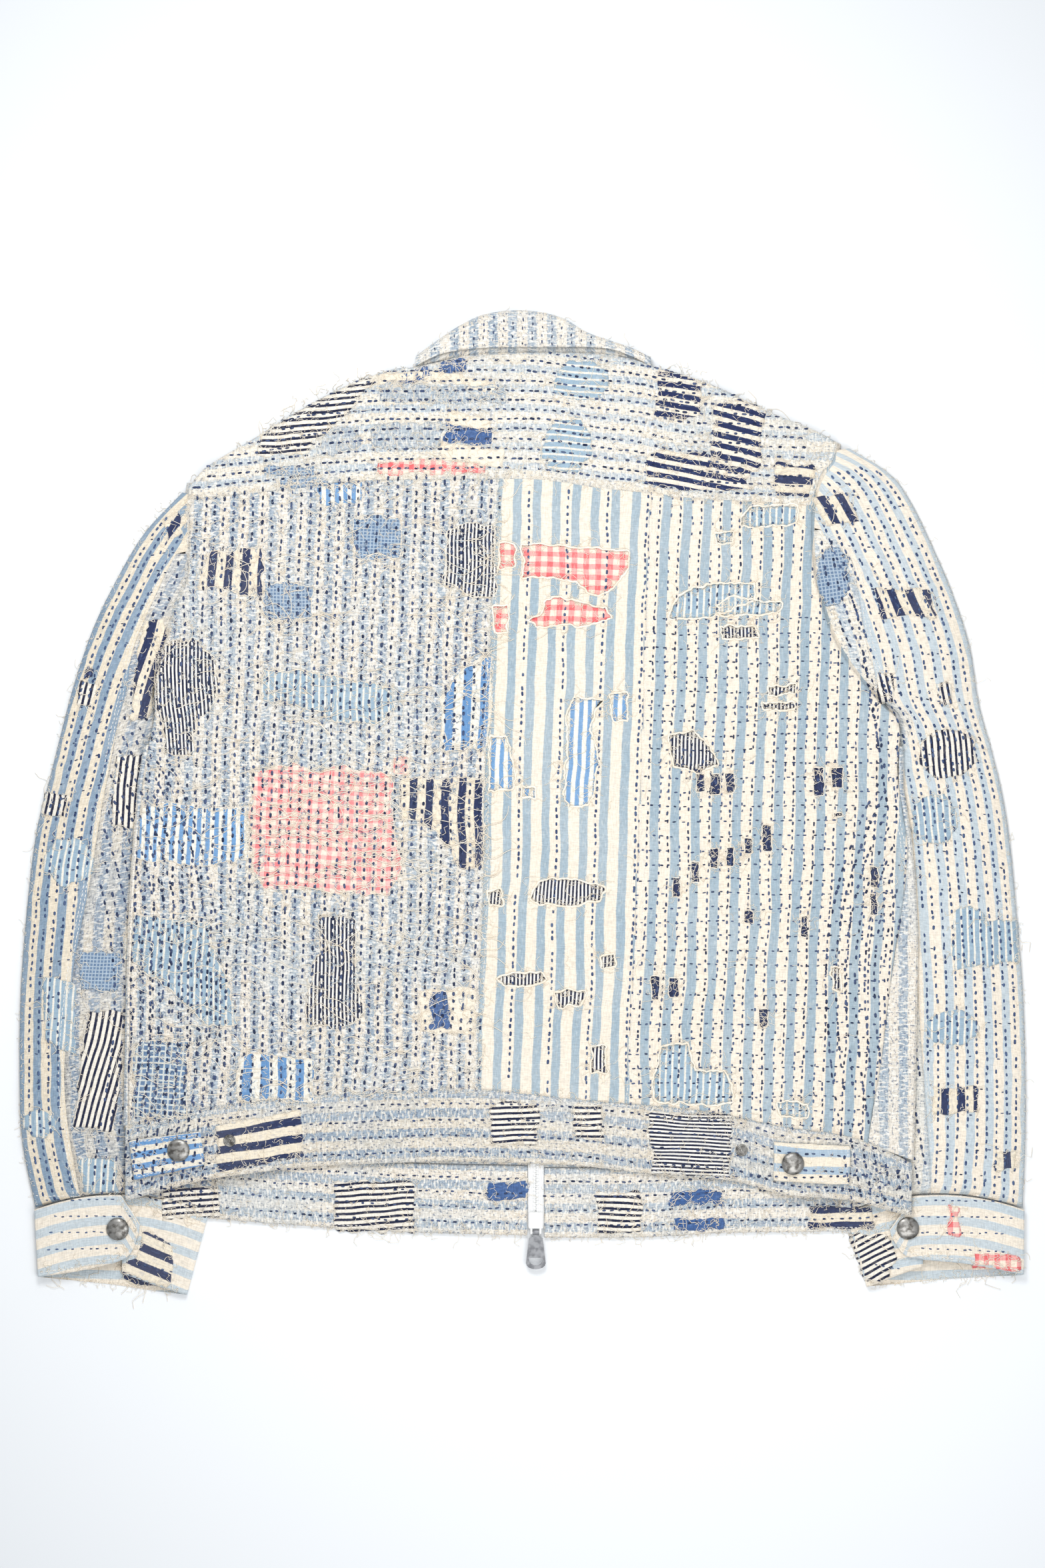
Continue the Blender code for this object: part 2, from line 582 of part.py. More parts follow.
def make_collar():
    keys = [row[0] for row in COLLAR]
    curves = [spline(keys, [float(row[k]) for row in COLLAR]) for k in (1, 2, 3, 4)]
    seam, fall, fold, neckline = curves
    stand_top = STAND_LOW + STAND_THICK
    fall_low = stand_top + FALL_AIR
    top = fall_low + STAND_THICK
    middle = 0.5 * (stand_top + fall_low)
    outer = []
    inner = []
    leaf_top = []
    leaf_low = []
    for k in range(COLLAR_COLUMNS):
        x = keys[0] + (keys[-1] - keys[0]) * k / (COLLAR_COLUMNS - 1)
        start = seam(x) + COLLAR_SEAM
        end = fall(x)
        turn = fold(x)
        bend = turn - COLLAR_ROUND
        half = 0.5 * (end + bend)
        ridge = RIDGE if k % 2 else 0.0
        outer.append([(x, start, STAND_LOW), (x, bend, STAND_LOW), (x, turn, middle),
                      (x, bend, top), (x, half, top + ridge), (x, end, top)])
        near = turn - STAND_THICK - 0.6
        inner.append([(x, start, stand_top), (x, near, stand_top),
                      (x, turn - STAND_THICK - 0.1, middle), (x, near, fall_low),
                      (x, 0.5 * (end + near), fall_low), (x, end, fall_low)])
        low_edge = neckline(x) + NECKLINE_SEAM
        leaf = [low_edge, 0.5 * (low_edge + turn - 1.0), turn - 1.0]
        leaf_top.append([(x, y, STAND_THICK) for y in leaf])
        leaf_low.append([(x, y, 0.0) for y in leaf])
    add_wall("collar", outer, inner, BORO)
    hidden = slice(LEAF_INSET, COLLAR_COLUMNS - LEAF_INSET)
    add_wall("collar_front", leaf_top[hidden], leaf_low[hidden], BORO)


# One sleeve: an outer and an under piece, each bent round one fold of the flattened tube
def make_sleeve(name, rows, seam_rows, under_start):
    side = -1.0 if rows[0][0] < 0 else 1.0
    keys = [k / (len(rows) - 1) for k in range(len(rows))]
    inner_line = spline(keys, [Vector(row[:2]) for row in rows])
    outer_line = spline(keys, [Vector(row[2:]) for row in rows])
    seam = reading(seam_rows)
    starts = {"outer": 0.0, "under": under_start}
    for piece, start in starts.items():
        outer = []
        inner = []
        for k in range(SLEEVE_ROWS):
            v = k / (SLEEVE_ROWS - 1)
            if v < start:
                continue
            near = inner_line(v)
            far = outer_line(v)
            split = 0.0
            for _ in range(8):
                y = near.y + (far.y - near.y) * split
                split = (side * seam(y) - near.x) / (far.x - near.x)
                split = min(0.9, max(0.0, split))
            width = (far - near).length
            edge = min(0.3, 2.4 / width)
            if v < under_start:
                split = 0.0
                lower = 0.0
            else:
                split = max(split, 2.0 * edge)
                lower = LOWER_SEAM
            half_gap = 0.5 * GAP / width
            if piece == "outer":
                begin = split + half_gap
                ending = 1.0 - edge
                columns = OUTER_COLUMNS
                turn = 1.0
                under_end = lower + half_gap
            else:
                begin = split - half_gap
                ending = edge
                columns = UNDER_COLUMNS
                turn = 0.0
                under_end = lower - half_gap
            inward = -1.0 if turn else 1.0
            outer_row, inner_row = sleeve_section(near, far, begin, ending, columns, turn,
                                                  under_end, inward * CLOTH / width,
                                                  CUFF_BOW * v ** 6)
            outer.append(outer_row)
            inner.append(inner_row)
        add_wall(f"sleeve_{name}_{piece}", outer, inner, CREAM if piece == "outer" else BORO)


# The points of one sleeve piece across the tube, from its upper seam to its lower one
def sleeve_section(near, far, begin, ending, columns, turn, under_end, wall_shift, bow):
    def across(t):
        spot = near.lerp(far, t)
        spot.y += bow * 4.0 * t * (1.0 - t)
        return spot

    outer_row = []
    inner_row = []
    for j in range(columns + 1):
        t = begin + (ending - begin) * j / columns
        spot = across(t)
        top = sleeve_top(spot.x, spot.y, far.x)
        raised = (RIDGE if j % 2 else 0.0) + crease_height(spot.x, spot.y)
        if top - SLEEVE_BASE < 0.4:
            raised = 0.0
        outer_row.append((spot.x, spot.y, top + raised))
        inner_row.append((spot.x, spot.y, top - CLOTH))
    fold = near.lerp(far, turn)
    fold_inside = near.lerp(far, turn + wall_shift)
    outer_row.append((fold.x, fold.y, 0.5 * SLEEVE_BASE))
    inner_row.append((fold_inside.x, fold_inside.y, 0.5 * SLEEVE_BASE))
    for share in (0.0, 0.35, 1.0):
        spot = near.lerp(far, ending + (under_end - ending) * share)
        outer_row.append((spot.x, spot.y, 0.0))
        inner_row.append((spot.x, spot.y, CLOTH))
    return outer_row, inner_row


# A cuff is one strip wound round the wrist, so its walls face up, then down, then up
def make_cuff(name, rows, sleeve_end):
    heights = [row[4] for row in rows]
    turns = [k for k in range(1, len(rows) - 1)
             if heights[k - 1] != heights[k] != heights[k + 1]]
    outer_fold, inner_fold = turns
    outer = []
    inner = []
    for share in (0.0, 0.5, 1.0):
        outer_row = []
        inner_row = []
        for k, (x0, y0, x1, y1, height) in enumerate(rows):
            across = min(1.0, max(0.0, (x0 - sleeve_end[0]) / (sleeve_end[2] - sleeve_end[0])))
            seam = sleeve_end[1] + (sleeve_end[3] - sleeve_end[1]) * across
            bow = CUFF_BOW if height > 0.0 else 0.0
            seam += bow * 4.0 * across * (1.0 - across) - CUFF_SEAM
            x = x0 + (x1 - x0) * share
            y = min(y0, seam) + (y1 - min(y0, seam)) * share
            if k in turns:
                step = -1.0 if (k == outer_fold) == (x > 0) else 1.0
                middle = height + 0.5 * CUFF_CLOTH
                outer_row.append((x, y, middle))
                inner_row.append((x + step * CUFF_CLOTH, y, middle))
            elif k < outer_fold or k > inner_fold:
                outer_row.append((x, y, height + CUFF_CLOTH))
                inner_row.append((x, y, height))
            else:
                outer_row.append((x, y, height))
                inner_row.append((x, y, height + CUFF_CLOTH))
        outer.append(outer_row)
        inner.append(inner_row)
    add_wall(name, outer, inner, CREAM)


def make_tab(name, corners):
    top_left, top_right, low_right, low_left = [Vector(corner) for corner in corners]
    outer = []
    inner = []
    for v in (0.0, 0.5, 1.0):
        outer_row = []
        inner_row = []
        for j in range(6):
            start = top_left.lerp(low_left, v)
            spot = start.lerp(top_right.lerp(low_right, v), j / 5.0)
            low = back_low(spot.x, spot.y) + CLOTH + TAB_AIR
            outer_row.append((spot.x, spot.y, low + TAB_THICK))
            inner_row.append((spot.x, spot.y, low))
        outer.append(outer_row)
        inner.append(inner_row)
    add_wall(name, outer, inner, BLUE)


# A turned piece: radius and height pairs from the top to the bottom of its outside
def add_turned(name, centre, profile, colour, ring=False):
    mesh_data = bmesh.new()
    segments = 16
    loops = []
    for radius, height in profile:
        loop = []
        for k in range(segments):
            angle = 2.0 * math.pi * k / segments
            spot = Vector((centre[0] + radius * math.cos(angle),
                           centre[1] + radius * math.sin(angle), centre[2] + height))
            loop.append(mesh_data.verts.new(spot * MM))
        loops.append(loop)
    pairs = list(zip(loops, loops[1:]))
    if ring:
        pairs.append((loops[-1], loops[0]))
    else:
        mesh_data.faces.new(loops[0])
        mesh_data.faces.new(loops[-1])
    for upper, lower in pairs:
        for k in range(segments):
            after = (k + 1) % segments
            mesh_data.faces.new((upper[k], upper[after], lower[after], lower[k]))
    item = add_object(name, mesh_data, colour, metallic=1.0)
    item.data.shade_smooth()
    item.data.set_sharp_from_angle(angle=math.radians(40))


def make_snaps():
    cap = [(2.4, CAP_HEIGHT), (4.8, 2.75), (6.9, 2.05), (8.1, 1.1), (CAP_RADIUS, 0.45),
           (7.9, 0.0)]
    cuff_top = CUFF_LEAF + CUFF_CLOTH + GAP
    add_turned("snap_cap_cuff_left", (-303, -318.5, cuff_top), cap, STEEL)
    add_turned("snap_cap_cuff_right", (288.5, -318, cuff_top), cap, STEEL)
    for name, x, y in (("snap_cap_tab_left", -257, -259), ("snap_cap_tab_right", 202, -269)):
        below = max(back_low(x + step, y) for step in (-CAP_RADIUS, 0.0, CAP_RADIUS))
        add_turned(name, (x, y, below + CLOTH + TAB_AIR + TAB_THICK + GAP), cap, STEEL)
    socket = [(SOCKET_BORE, 1.2), (2.6, 1.5), (3.6, 1.2), (SOCKET_RADIUS, 0.3),
              (SOCKET_RADIUS, 0.0), (SOCKET_BORE, 0.0)]
    for name, x, y in (("snap_socket_left", -219, -252), ("snap_socket_right", 164, -259.5)):
        height = back_low(x, y) + CLOTH + 2.0 * GAP
        add_turned(name, (x, y, height), socket, STEEL, ring=True)


# A box between two corners in millimetres
def box_mesh(low, high):
    mesh_data = bmesh.new()
    bmesh.ops.create_cube(mesh_data, size=1.0)
    for vert in mesh_data.verts:
        share = vert.co + Vector((0.5, 0.5, 0.5))
        vert.co = Vector([(low[k] + (high[k] - low[k]) * share[k]) * MM for k in range(3)])
    return mesh_data


# A bar along X, for a pin, a lug or a knuckle
def bar_mesh(x0, x1, y, z, radius, segments=20):
    mesh_data = bmesh.new()
    ends = []
    for x in (x0, x1):
        ring = []
        for k in range(segments):
            angle = 2.0 * math.pi * k / segments
            spot = Vector((x, y + radius * math.cos(angle), z + radius * math.sin(angle)))
            ring.append(mesh_data.verts.new(spot * MM))
        ends.append(ring)
        mesh_data.faces.new(ring)
    for k in range(segments):
        after = (k + 1) % segments
        mesh_data.faces.new((ends[0][k], ends[0][after], ends[1][after], ends[1][k]))
    return mesh_data


def join_or_cut(item, other, operation):
    other.hide_render = True
    other.display_type = "WIRE"
    change = item.modifiers.new(other.name, "BOOLEAN")
    change.operation = operation
    change.object = other


def make_zip():
    for name, x0, x1 in (("zip_tape_left", ZIP_X - TAPE_HALF, ZIP_X - 0.5 * GAP),
                         ("zip_tape_right", ZIP_X + 0.5 * GAP, ZIP_X + TAPE_HALF)):
        tape = box_mesh((x0, TAPE_BOTTOM, TAPE_LOW), (x1, TAPE_TOP, TAPE_LOW + TAPE_THICK))
        add_object(name, tape, WHITE)
    low = TAPE_LOW + TAPE_THICK + GAP
    body = box_mesh((ZIP_X - SLIDER_HALF, SLIDER_END, low),
                    (ZIP_X + SLIDER_HALF, SLIDER_END + SLIDER_LENGTH, SLIDER_TOP))
    slider = add_object("zip_slider", body, WHITE, metallic=1.0)
    round_edges = slider.modifiers.new("rounded edges", "BEVEL")
    round_edges.width = 0.9 * MM
    round_edges.segments = 2
    for label, x in (("left lug", ZIP_X - LUG_X), ("right lug", ZIP_X + LUG_X)):
        lug = bar_mesh(x - LUG_HALF, x + LUG_HALF, PIVOT_Y, PIVOT_Z, LUG_RADIUS)
        stretch_to(lug, SLIDER_END + 1.5)
        join_or_cut(slider, add_object(label, lug, WHITE), "UNION")
    pin = bar_mesh(ZIP_X - LUG_X, ZIP_X + LUG_X, PIVOT_Y, PIVOT_Z, PIN_RADIUS, 12)
    join_or_cut(slider, add_object("pull pin", pin, WHITE), "UNION")
    make_pull()


# Lengthens the side of a lug that meets the slider
def stretch_to(mesh_data, y):
    for vert in mesh_data.verts:
        if vert.co.y > (PIVOT_Y + 0.1) * MM:
            vert.co.y = y * MM


# The pull tab: a flared plate with a half-moon hole and a knuckle on the slider's pin
def make_pull():
    half = [(-2.2, -1.6), (-2.2, -3.0), (-5.2, -4.4), (-5.6, -8.0),
            (-PULL_ROUND_HALF, PULL_ROUND_Y)]
    outline = list(half)
    for k in range(1, ARC_STEPS):
        angle = math.pi * k / ARC_STEPS
        outline.append((-PULL_ROUND_HALF * math.cos(angle),
                        PULL_ROUND_Y - PULL_ROUND_DEEP * math.sin(angle)))
    outline += [(-x, y) for x, y in reversed(half)]
    pull = add_object("zip_pull", extruded(outline, PULL_HALF_THICK), STEEL, metallic=1.0)
    knuckle = bar_mesh(ZIP_X - KNUCKLE_HALF, ZIP_X + KNUCKLE_HALF, PIVOT_Y, PIVOT_Z,
                       KNUCKLE_RADIUS)
    join_or_cut(pull, add_object("pull knuckle", knuckle, STEEL), "UNION")
    bore = bar_mesh(ZIP_X - 4.0, ZIP_X + 4.0, PIVOT_Y, PIVOT_Z, BORE_RADIUS)
    join_or_cut(pull, add_object("pull bore", bore, STEEL), "DIFFERENCE")
    moon = [(-MOON_HALF, MOON_TOP)]
    for k in range(ARC_STEPS + 1):
        angle = math.pi * k / ARC_STEPS
        moon.append((-MOON_HALF * math.cos(angle),
                     MOON_START - PULL_ROUND_DEEP * math.sin(angle)))
    moon.append((MOON_HALF, MOON_TOP))
    hole = extruded(moon, 3.0)
    join_or_cut(pull, add_object("pull hole", hole, STEEL), "DIFFERENCE")


# A flat outline round the pull's pivot, thickened both ways
def extruded(outline, half_thick):
    mesh_data = bmesh.new()
    rings = []
    for z in (PIVOT_Z - half_thick, PIVOT_Z + half_thick):
        ring = [mesh_data.verts.new(Vector((ZIP_X + x, PIVOT_Y + y, z)) * MM) for x, y in outline]
        rings.append(ring)
        mesh_data.faces.new(ring)
    for k in range(len(outline)):
        after = (k + 1) % len(outline)
        mesh_data.faces.new((rings[0][k], rings[0][after], rings[1][after], rings[1][k]))
    return mesh_data


clear_scene()
make_sleeve("left", SLEEVE_LEFT, SEAM_LEFT, UNDER_START_LEFT)
make_sleeve("right", SLEEVE_RIGHT, SEAM_RIGHT, UNDER_START_RIGHT)
make_cuff("cuff_left", CUFF_LEFT, SLEEVE_LEFT[-1])
make_cuff("cuff_right", CUFF_RIGHT, SLEEVE_RIGHT[-1])
make_fronts()
make_backs()
make_yoke()
make_waistband()
make_collar()
make_tab("tab_left", TAB_LEFT)
make_tab("tab_right", TAB_RIGHT)
make_snaps()
make_zip()
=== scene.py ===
import math

import bpy
import numpy as np
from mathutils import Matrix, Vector
from mathutils.bvhtree import BVHTree


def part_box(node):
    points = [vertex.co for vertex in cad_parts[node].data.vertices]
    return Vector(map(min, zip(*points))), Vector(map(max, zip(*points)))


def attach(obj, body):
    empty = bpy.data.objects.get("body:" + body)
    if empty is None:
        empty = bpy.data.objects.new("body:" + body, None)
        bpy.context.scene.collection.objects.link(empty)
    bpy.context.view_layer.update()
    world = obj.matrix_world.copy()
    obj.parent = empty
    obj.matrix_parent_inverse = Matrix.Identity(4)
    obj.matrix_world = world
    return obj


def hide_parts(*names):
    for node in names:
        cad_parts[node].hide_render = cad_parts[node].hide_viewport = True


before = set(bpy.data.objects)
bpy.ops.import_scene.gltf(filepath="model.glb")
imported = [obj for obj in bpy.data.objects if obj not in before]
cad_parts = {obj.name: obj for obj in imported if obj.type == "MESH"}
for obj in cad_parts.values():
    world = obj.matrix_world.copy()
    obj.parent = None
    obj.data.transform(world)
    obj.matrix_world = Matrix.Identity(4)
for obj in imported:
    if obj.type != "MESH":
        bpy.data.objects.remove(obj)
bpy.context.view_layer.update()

# A patched boro jacket laid face down. Lengths are in millimetres until a mesh is made.
# Outlines of tears, patches and creases are places in the photograph, half a millimetre a pixel.
mm = 0.001
stripe = 14.6  # one light and one dark stripe of the main cloth
rowPitch = stripe / 2  # rows of running stitches
rayStart = 60.0  # well above the jacket
down = Vector((0, 0, -1))
photo = {"middleX": 784.5, "zeroY": 1205.0, "mmPerPixel": 0.5}


def atPhoto(points):
    points = np.array(points, float)
    x = (points[:, 0] - photo["middleX"]) * photo["mmPerPixel"]
    y = (photo["zeroY"] - points[:, 1]) * photo["mmPerPixel"]
    return np.column_stack([x, y])


def box(x0, y0, x1, y1):
    return [(x0, y0), (x1, y0), (x1, y1), (x0, y1)]


# Lines and noise

def hermite(keys, values, at):
    keys = np.asarray(keys, float)
    values = np.asarray(values, float)
    at = np.clip(np.asarray(at, float), keys[0], keys[-1])
    low = np.maximum(np.arange(len(keys)) - 1, 0)
    high = np.minimum(np.arange(len(keys)) + 1, len(keys) - 1)
    slopes = (values[high] - values[low]) / (keys[high] - keys[low])[:, None]
    i = np.clip(np.searchsorted(keys, at, side="right") - 1, 0, len(keys) - 2)
    span = (keys[i + 1] - keys[i])[:, None]
    t = (at[:, None] - keys[i][:, None]) / span
    rise = t * t * (3 - 2 * t)
    bend = slopes[i] * t * (1 - t) ** 2 - slopes[i + 1] * t * t * (1 - t)
    return values[i] * (1 - rise) + values[i + 1] * rise + bend * span


def runLengths(points):
    return np.concatenate([[0.0], np.cumsum(np.linalg.norm(np.diff(points, axis=0), axis=1))])


# Both lines keep the ends: one rounds the corners, with a point every 2.5 mm, and one doesn't
def smoothLine(points):
    points = np.array(points, float)
    reach = runLengths(points)
    return hermite(reach, points, np.linspace(0, reach[-1], max(2, int(reach[-1] / 2.5) + 1)))


def straightLine(points, step=1.5):
    points = np.array(points, float)
    reach = runLengths(points)
    at = np.linspace(0, reach[-1], max(2, int(reach[-1] / step) + 1))
    return np.column_stack([np.interp(at, reach, points[:, k]) for k in range(points.shape[1])])


def softNoise(x, y, size, seed):
    gx = np.asarray(x, float) / size
    gy = np.asarray(y, float) / size
    ix = np.floor(gx).astype(np.int64)
    iy = np.floor(gy).astype(np.int64)
    fx = gx - ix
    fy = gy - iy
    fx = fx * fx * (3 - 2 * fx)
    fy = fy * fy * (3 - 2 * fy)

    def corner(i, j):
        code = (i * 374761393 + j * 668265263 + seed * 9749111) & 0x7FFFFFFF
        code = ((code ^ (code >> 13)) * 1274126177) & 0x7FFFFFFF
        return ((code ^ (code >> 16)) & 0xFFFF) / 32768.0 - 1.0

    top = corner(ix, iy) * (1 - fx) + corner(ix + 1, iy) * fx
    low = corner(ix, iy + 1) * (1 - fx) + corner(ix + 1, iy + 1) * fx
    return top * (1 - fy) + low * fy


def inside(x, y, ring):
    hits = np.zeros(np.shape(x), bool)
    for (ax, ay), (bx, by) in zip(ring, np.roll(ring, -1, axis=0)):
        if ay != by:
            hits ^= ((ay > y) != (by > y)) & (x < (bx - ax) * (y - ay) / (by - ay) + ax)
    return hits


def closed(ring):
    return np.vstack([ring, ring[:1]])


# The direction out of a ring at each of its points
def sideways(ring):
    ahead = np.roll(ring, -1, axis=0) - np.roll(ring, 1, axis=0)
    normal = np.column_stack([ahead[:, 1], -ahead[:, 0]])
    return normal / np.maximum(np.linalg.norm(normal, axis=1), 1e-6)[:, None]


def raggedRing(points, amount, seed):
    line = straightLine(closed(points), 1.6)[:-1]
    x, y = line.T
    out = softNoise(x, y, 7.0, seed) + 0.6 * softNoise(x, y, 2.6, seed + 1)
    return line + sideways(line) * (out * amount)[:, None]


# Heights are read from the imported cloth, then smoothed

def reliefOf(names, step, passes):
    trees = []
    corners = []
    for name in names:
        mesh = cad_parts[name].data
        spots = [v.co.copy() for v in mesh.vertices]
        trees.append(BVHTree.FromPolygons(spots, [tuple(p.vertices) for p in mesh.polygons]))
        corners += spots
    low = np.min(corners, axis=0) / mm - 2 * step
    high = np.max(corners, axis=0) / mm + 2 * step
    xs = np.arange(low[0], high[0] + step, step)
    ys = np.arange(low[1], high[1] + step, step)
    z = np.full((len(ys), len(xs)), np.nan)
    for i, y in enumerate(ys):
        for j, x in enumerate(xs):
            start = Vector((x * mm, y * mm, rayStart * mm))
            hits = [tree.ray_cast(start, down)[0] for tree in trees]
            found = [hit.z / mm for hit in hits if hit is not None]
            if found:
                z[i, j] = max(found)
    while np.isnan(z).any():
        around = np.stack([np.roll(z, shift, axis) for shift in (1, -1) for axis in (0, 1)])
        known = ~np.isnan(around)
        fill = np.where(known, around, 0).sum(0) / np.maximum(known.sum(0), 1)
        z = np.where(np.isnan(z) & known.any(0), fill, z)
    for _ in range(passes):
        padded = np.pad(z, 1, mode="edge")
        z = sum(padded[1 + i:1 + i + z.shape[0], 1 + j:1 + j + z.shape[1]]
                for i in (-1, 0, 1) for j in (-1, 0, 1)) / 9.0
    return {"x": xs[0], "y": ys[0], "step": step, "z": z}


def readRelief(relief, x, y):
    z = relief["z"]
    gx = np.clip((np.asarray(x) - relief["x"]) / relief["step"], 0, z.shape[1] - 1.001)
    gy = np.clip((np.asarray(y) - relief["y"]) / relief["step"], 0, z.shape[0] - 1.001)
    ix = gx.astype(int)
    iy = gy.astype(int)
    fx = gx - ix
    fy = gy - iy
    low = z[iy, ix] * (1 - fx) + z[iy, ix + 1] * fx
    high = z[iy + 1, ix] * (1 - fx) + z[iy + 1, ix + 1] * fx
    return low * (1 - fy) + high * fy


# Creases pressed into the cloth: first and last place in the photograph, half width, rise
creases = [
    (975, 765, 1210, 768, 5, 0.8), (800, 1267, 1330, 1269, 5, 0.8), (760, 1496, 1330, 1497, 4, 0.7),
    (960, 1561, 1330, 1561, 4, 0.5), (1316, 830, 1330, 878, 6, 1.0), (1308, 881, 1402, 881, 5, 1.0),
    (1380, 1585, 1520, 1585, 5, 0.7), (300, 800, 430, 900, 9, 0.7), (460, 900, 560, 950, 9, 0.8),
    (255, 1165, 700, 1175, 5, 0.5), (300, 1340, 640, 1345, 6, 0.5), (120, 1020, 90, 1150, 8, 0.8),
    (60, 1600, 110, 1700, 7, 0.8), (1440, 1200, 1480, 1420, 8, 0.7), (845, 1175, 960, 1390, 3, 0.4),
    (400, 560, 470, 700, 9, 0.7),
]


# Waves in the cloth: rise, closeness across and along, size, seed
waves = ((0.75, 1, 1, 34.0, 3), (0.5, 0.7, 1, 12.0, 5), (0.3, 1, 1.6, 6.0, 8))


def wrinkles(x, y):
    height = sum(rise * softNoise(x * across, y * along, size, seed)
                 for rise, across, along, size, seed in waves)
    for x0, y0, x1, y1, halfWidth, rise in creases:
        (ax, ay), (bx, by) = atPhoto([(x0, y0), (x1, y1)])
        run = (bx - ax) ** 2 + (by - ay) ** 2
        along = np.clip(((x - ax) * (bx - ax) + (y - ay) * (by - ay)) / run, 0, 1)
        away = np.hypot(x - ax - along * (bx - ax), y - ay - along * (by - ay)) / halfWidth
        fold = np.exp(-away * away) - 0.7 * np.exp(-((away - 1.5) ** 2))
        height = height + rise * fold
    return height


# Meshes

clothParts = []  # every cloth surface, so that sewing can lie on it
lowestPoint = 0.12  # what is made here keeps this far off the surface below


def link(name, data):
    made = bpy.data.objects.new(name, data)
    bpy.context.scene.collection.objects.link(made)
    return made


def writeUv(mesh, uv):
    layer = mesh.uv_layers.new(name="cloth")
    corners = np.zeros(len(mesh.loops), np.int32)
    mesh.loops.foreach_get("vertex_index", corners)
    layer.uv.foreach_set("vector", np.asarray(uv, np.float32)[corners].ravel())


def makeObject(name, points, faces, material, uv=None):
    points = np.asarray(points, float)
    points[:, 2] = np.maximum(points[:, 2], lowestPoint)
    mesh = bpy.data.meshes.new(name)
    mesh.from_pydata((points * mm).tolist(), [], faces.tolist())
    mesh.polygons.foreach_set("use_smooth", [True] * len(mesh.polygons))
    if uv is not None:
        clothParts.append((points, faces))
        writeUv(mesh, uv)
    mesh.materials.append(material)
    mesh.validate()
    piece = link(name, mesh)
    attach(piece, "jacket")
    return piece


def gridQuads(rows, columns):
    index = np.arange(rows * columns).reshape(rows, columns)
    return np.stack([index[:-1, :-1], index[:-1, 1:], index[1:, 1:], index[1:, :-1]], axis=-1)


# Faces between rows of points, each row closed to a loop
def tubeFaces(rows, around):
    k = np.arange(rows - 1)[:, None] * around
    j = np.arange(around)[None, :]
    after = (j + 1) % around
    return np.stack([k + j, k + after, k + around + after, k + around + j], axis=-1).reshape(-1, 4)


# The faces of one shape, again for each copy of its points
def repeated(faces, copies, size):
    return (faces[None] + (np.arange(copies) * size)[:, None, None]).reshape(-1, faces.shape[1])


def faceArea(points, faces):
    a, b, c, d = [points[faces[:, k]] for k in range(4)]
    return 0.5 * (np.linalg.norm(np.cross(b - a, c - a), axis=1)
                  + np.linalg.norm(np.cross(c - a, d - a), axis=1)).sum()


# The cut edge of a sheet is turned down by the thickness of the cloth
def withEdge(points, faces, uv, drop):
    count = len(points)
    starts = faces.ravel()
    ends = np.roll(faces, -1, axis=1).ravel()
    lone = ~np.isin(starts * count + ends, ends * count + starts)
    a = starts[lone]
    b = ends[lone]
    rim = np.unique(np.concatenate([a, b]))
    lower = points[rim].copy()
    lower[:, 2] = np.maximum(lower[:, 2] - drop, 0.15)
    place = np.zeros(count, int)
    place[rim] = count + np.arange(len(rim))
    skirt = np.column_stack([b, a, place[a], place[b]])
    return np.vstack([points, lower]), np.vstack([faces, skirt]), np.vstack([uv, uv[rim] + 0.4])


# How far the weave has been pulled off its line by sewing and wear
def pull(x, y):
    return 1.2 * softNoise(x, y, 44.0, 61) + 0.5 * softNoise(x, y, 15.0, 62)


# grain: turn in degrees, stretch of the stripes, shift in mm
def turnedGrain(x, y, grain):
    turn, stretch, shift = grain
    angle = math.radians(turn)
    return np.column_stack([(x * math.cos(angle) + y * math.sin(angle)) * stretch + shift + pull(x, y),
                            y * math.cos(angle) - x * math.sin(angle) + pull(y + 300, x)])


# The line of one thread in a cloth: the plan places where u keeps its value
def grainLine(u, low, high, grain):
    turn, stretch, shift = grain
    angle = math.radians(turn)
    v = np.arange(low, high, 3.0)
    x = np.full(len(v), (u - shift) / stretch)
    y = v.copy()
    for _ in range(3):
        along = (u - shift - pull(x, y)) / stretch
        x = along * math.cos(angle) - v * math.sin(angle)
        y = along * math.sin(angle) + v * math.cos(angle)
    return np.column_stack([x, y])


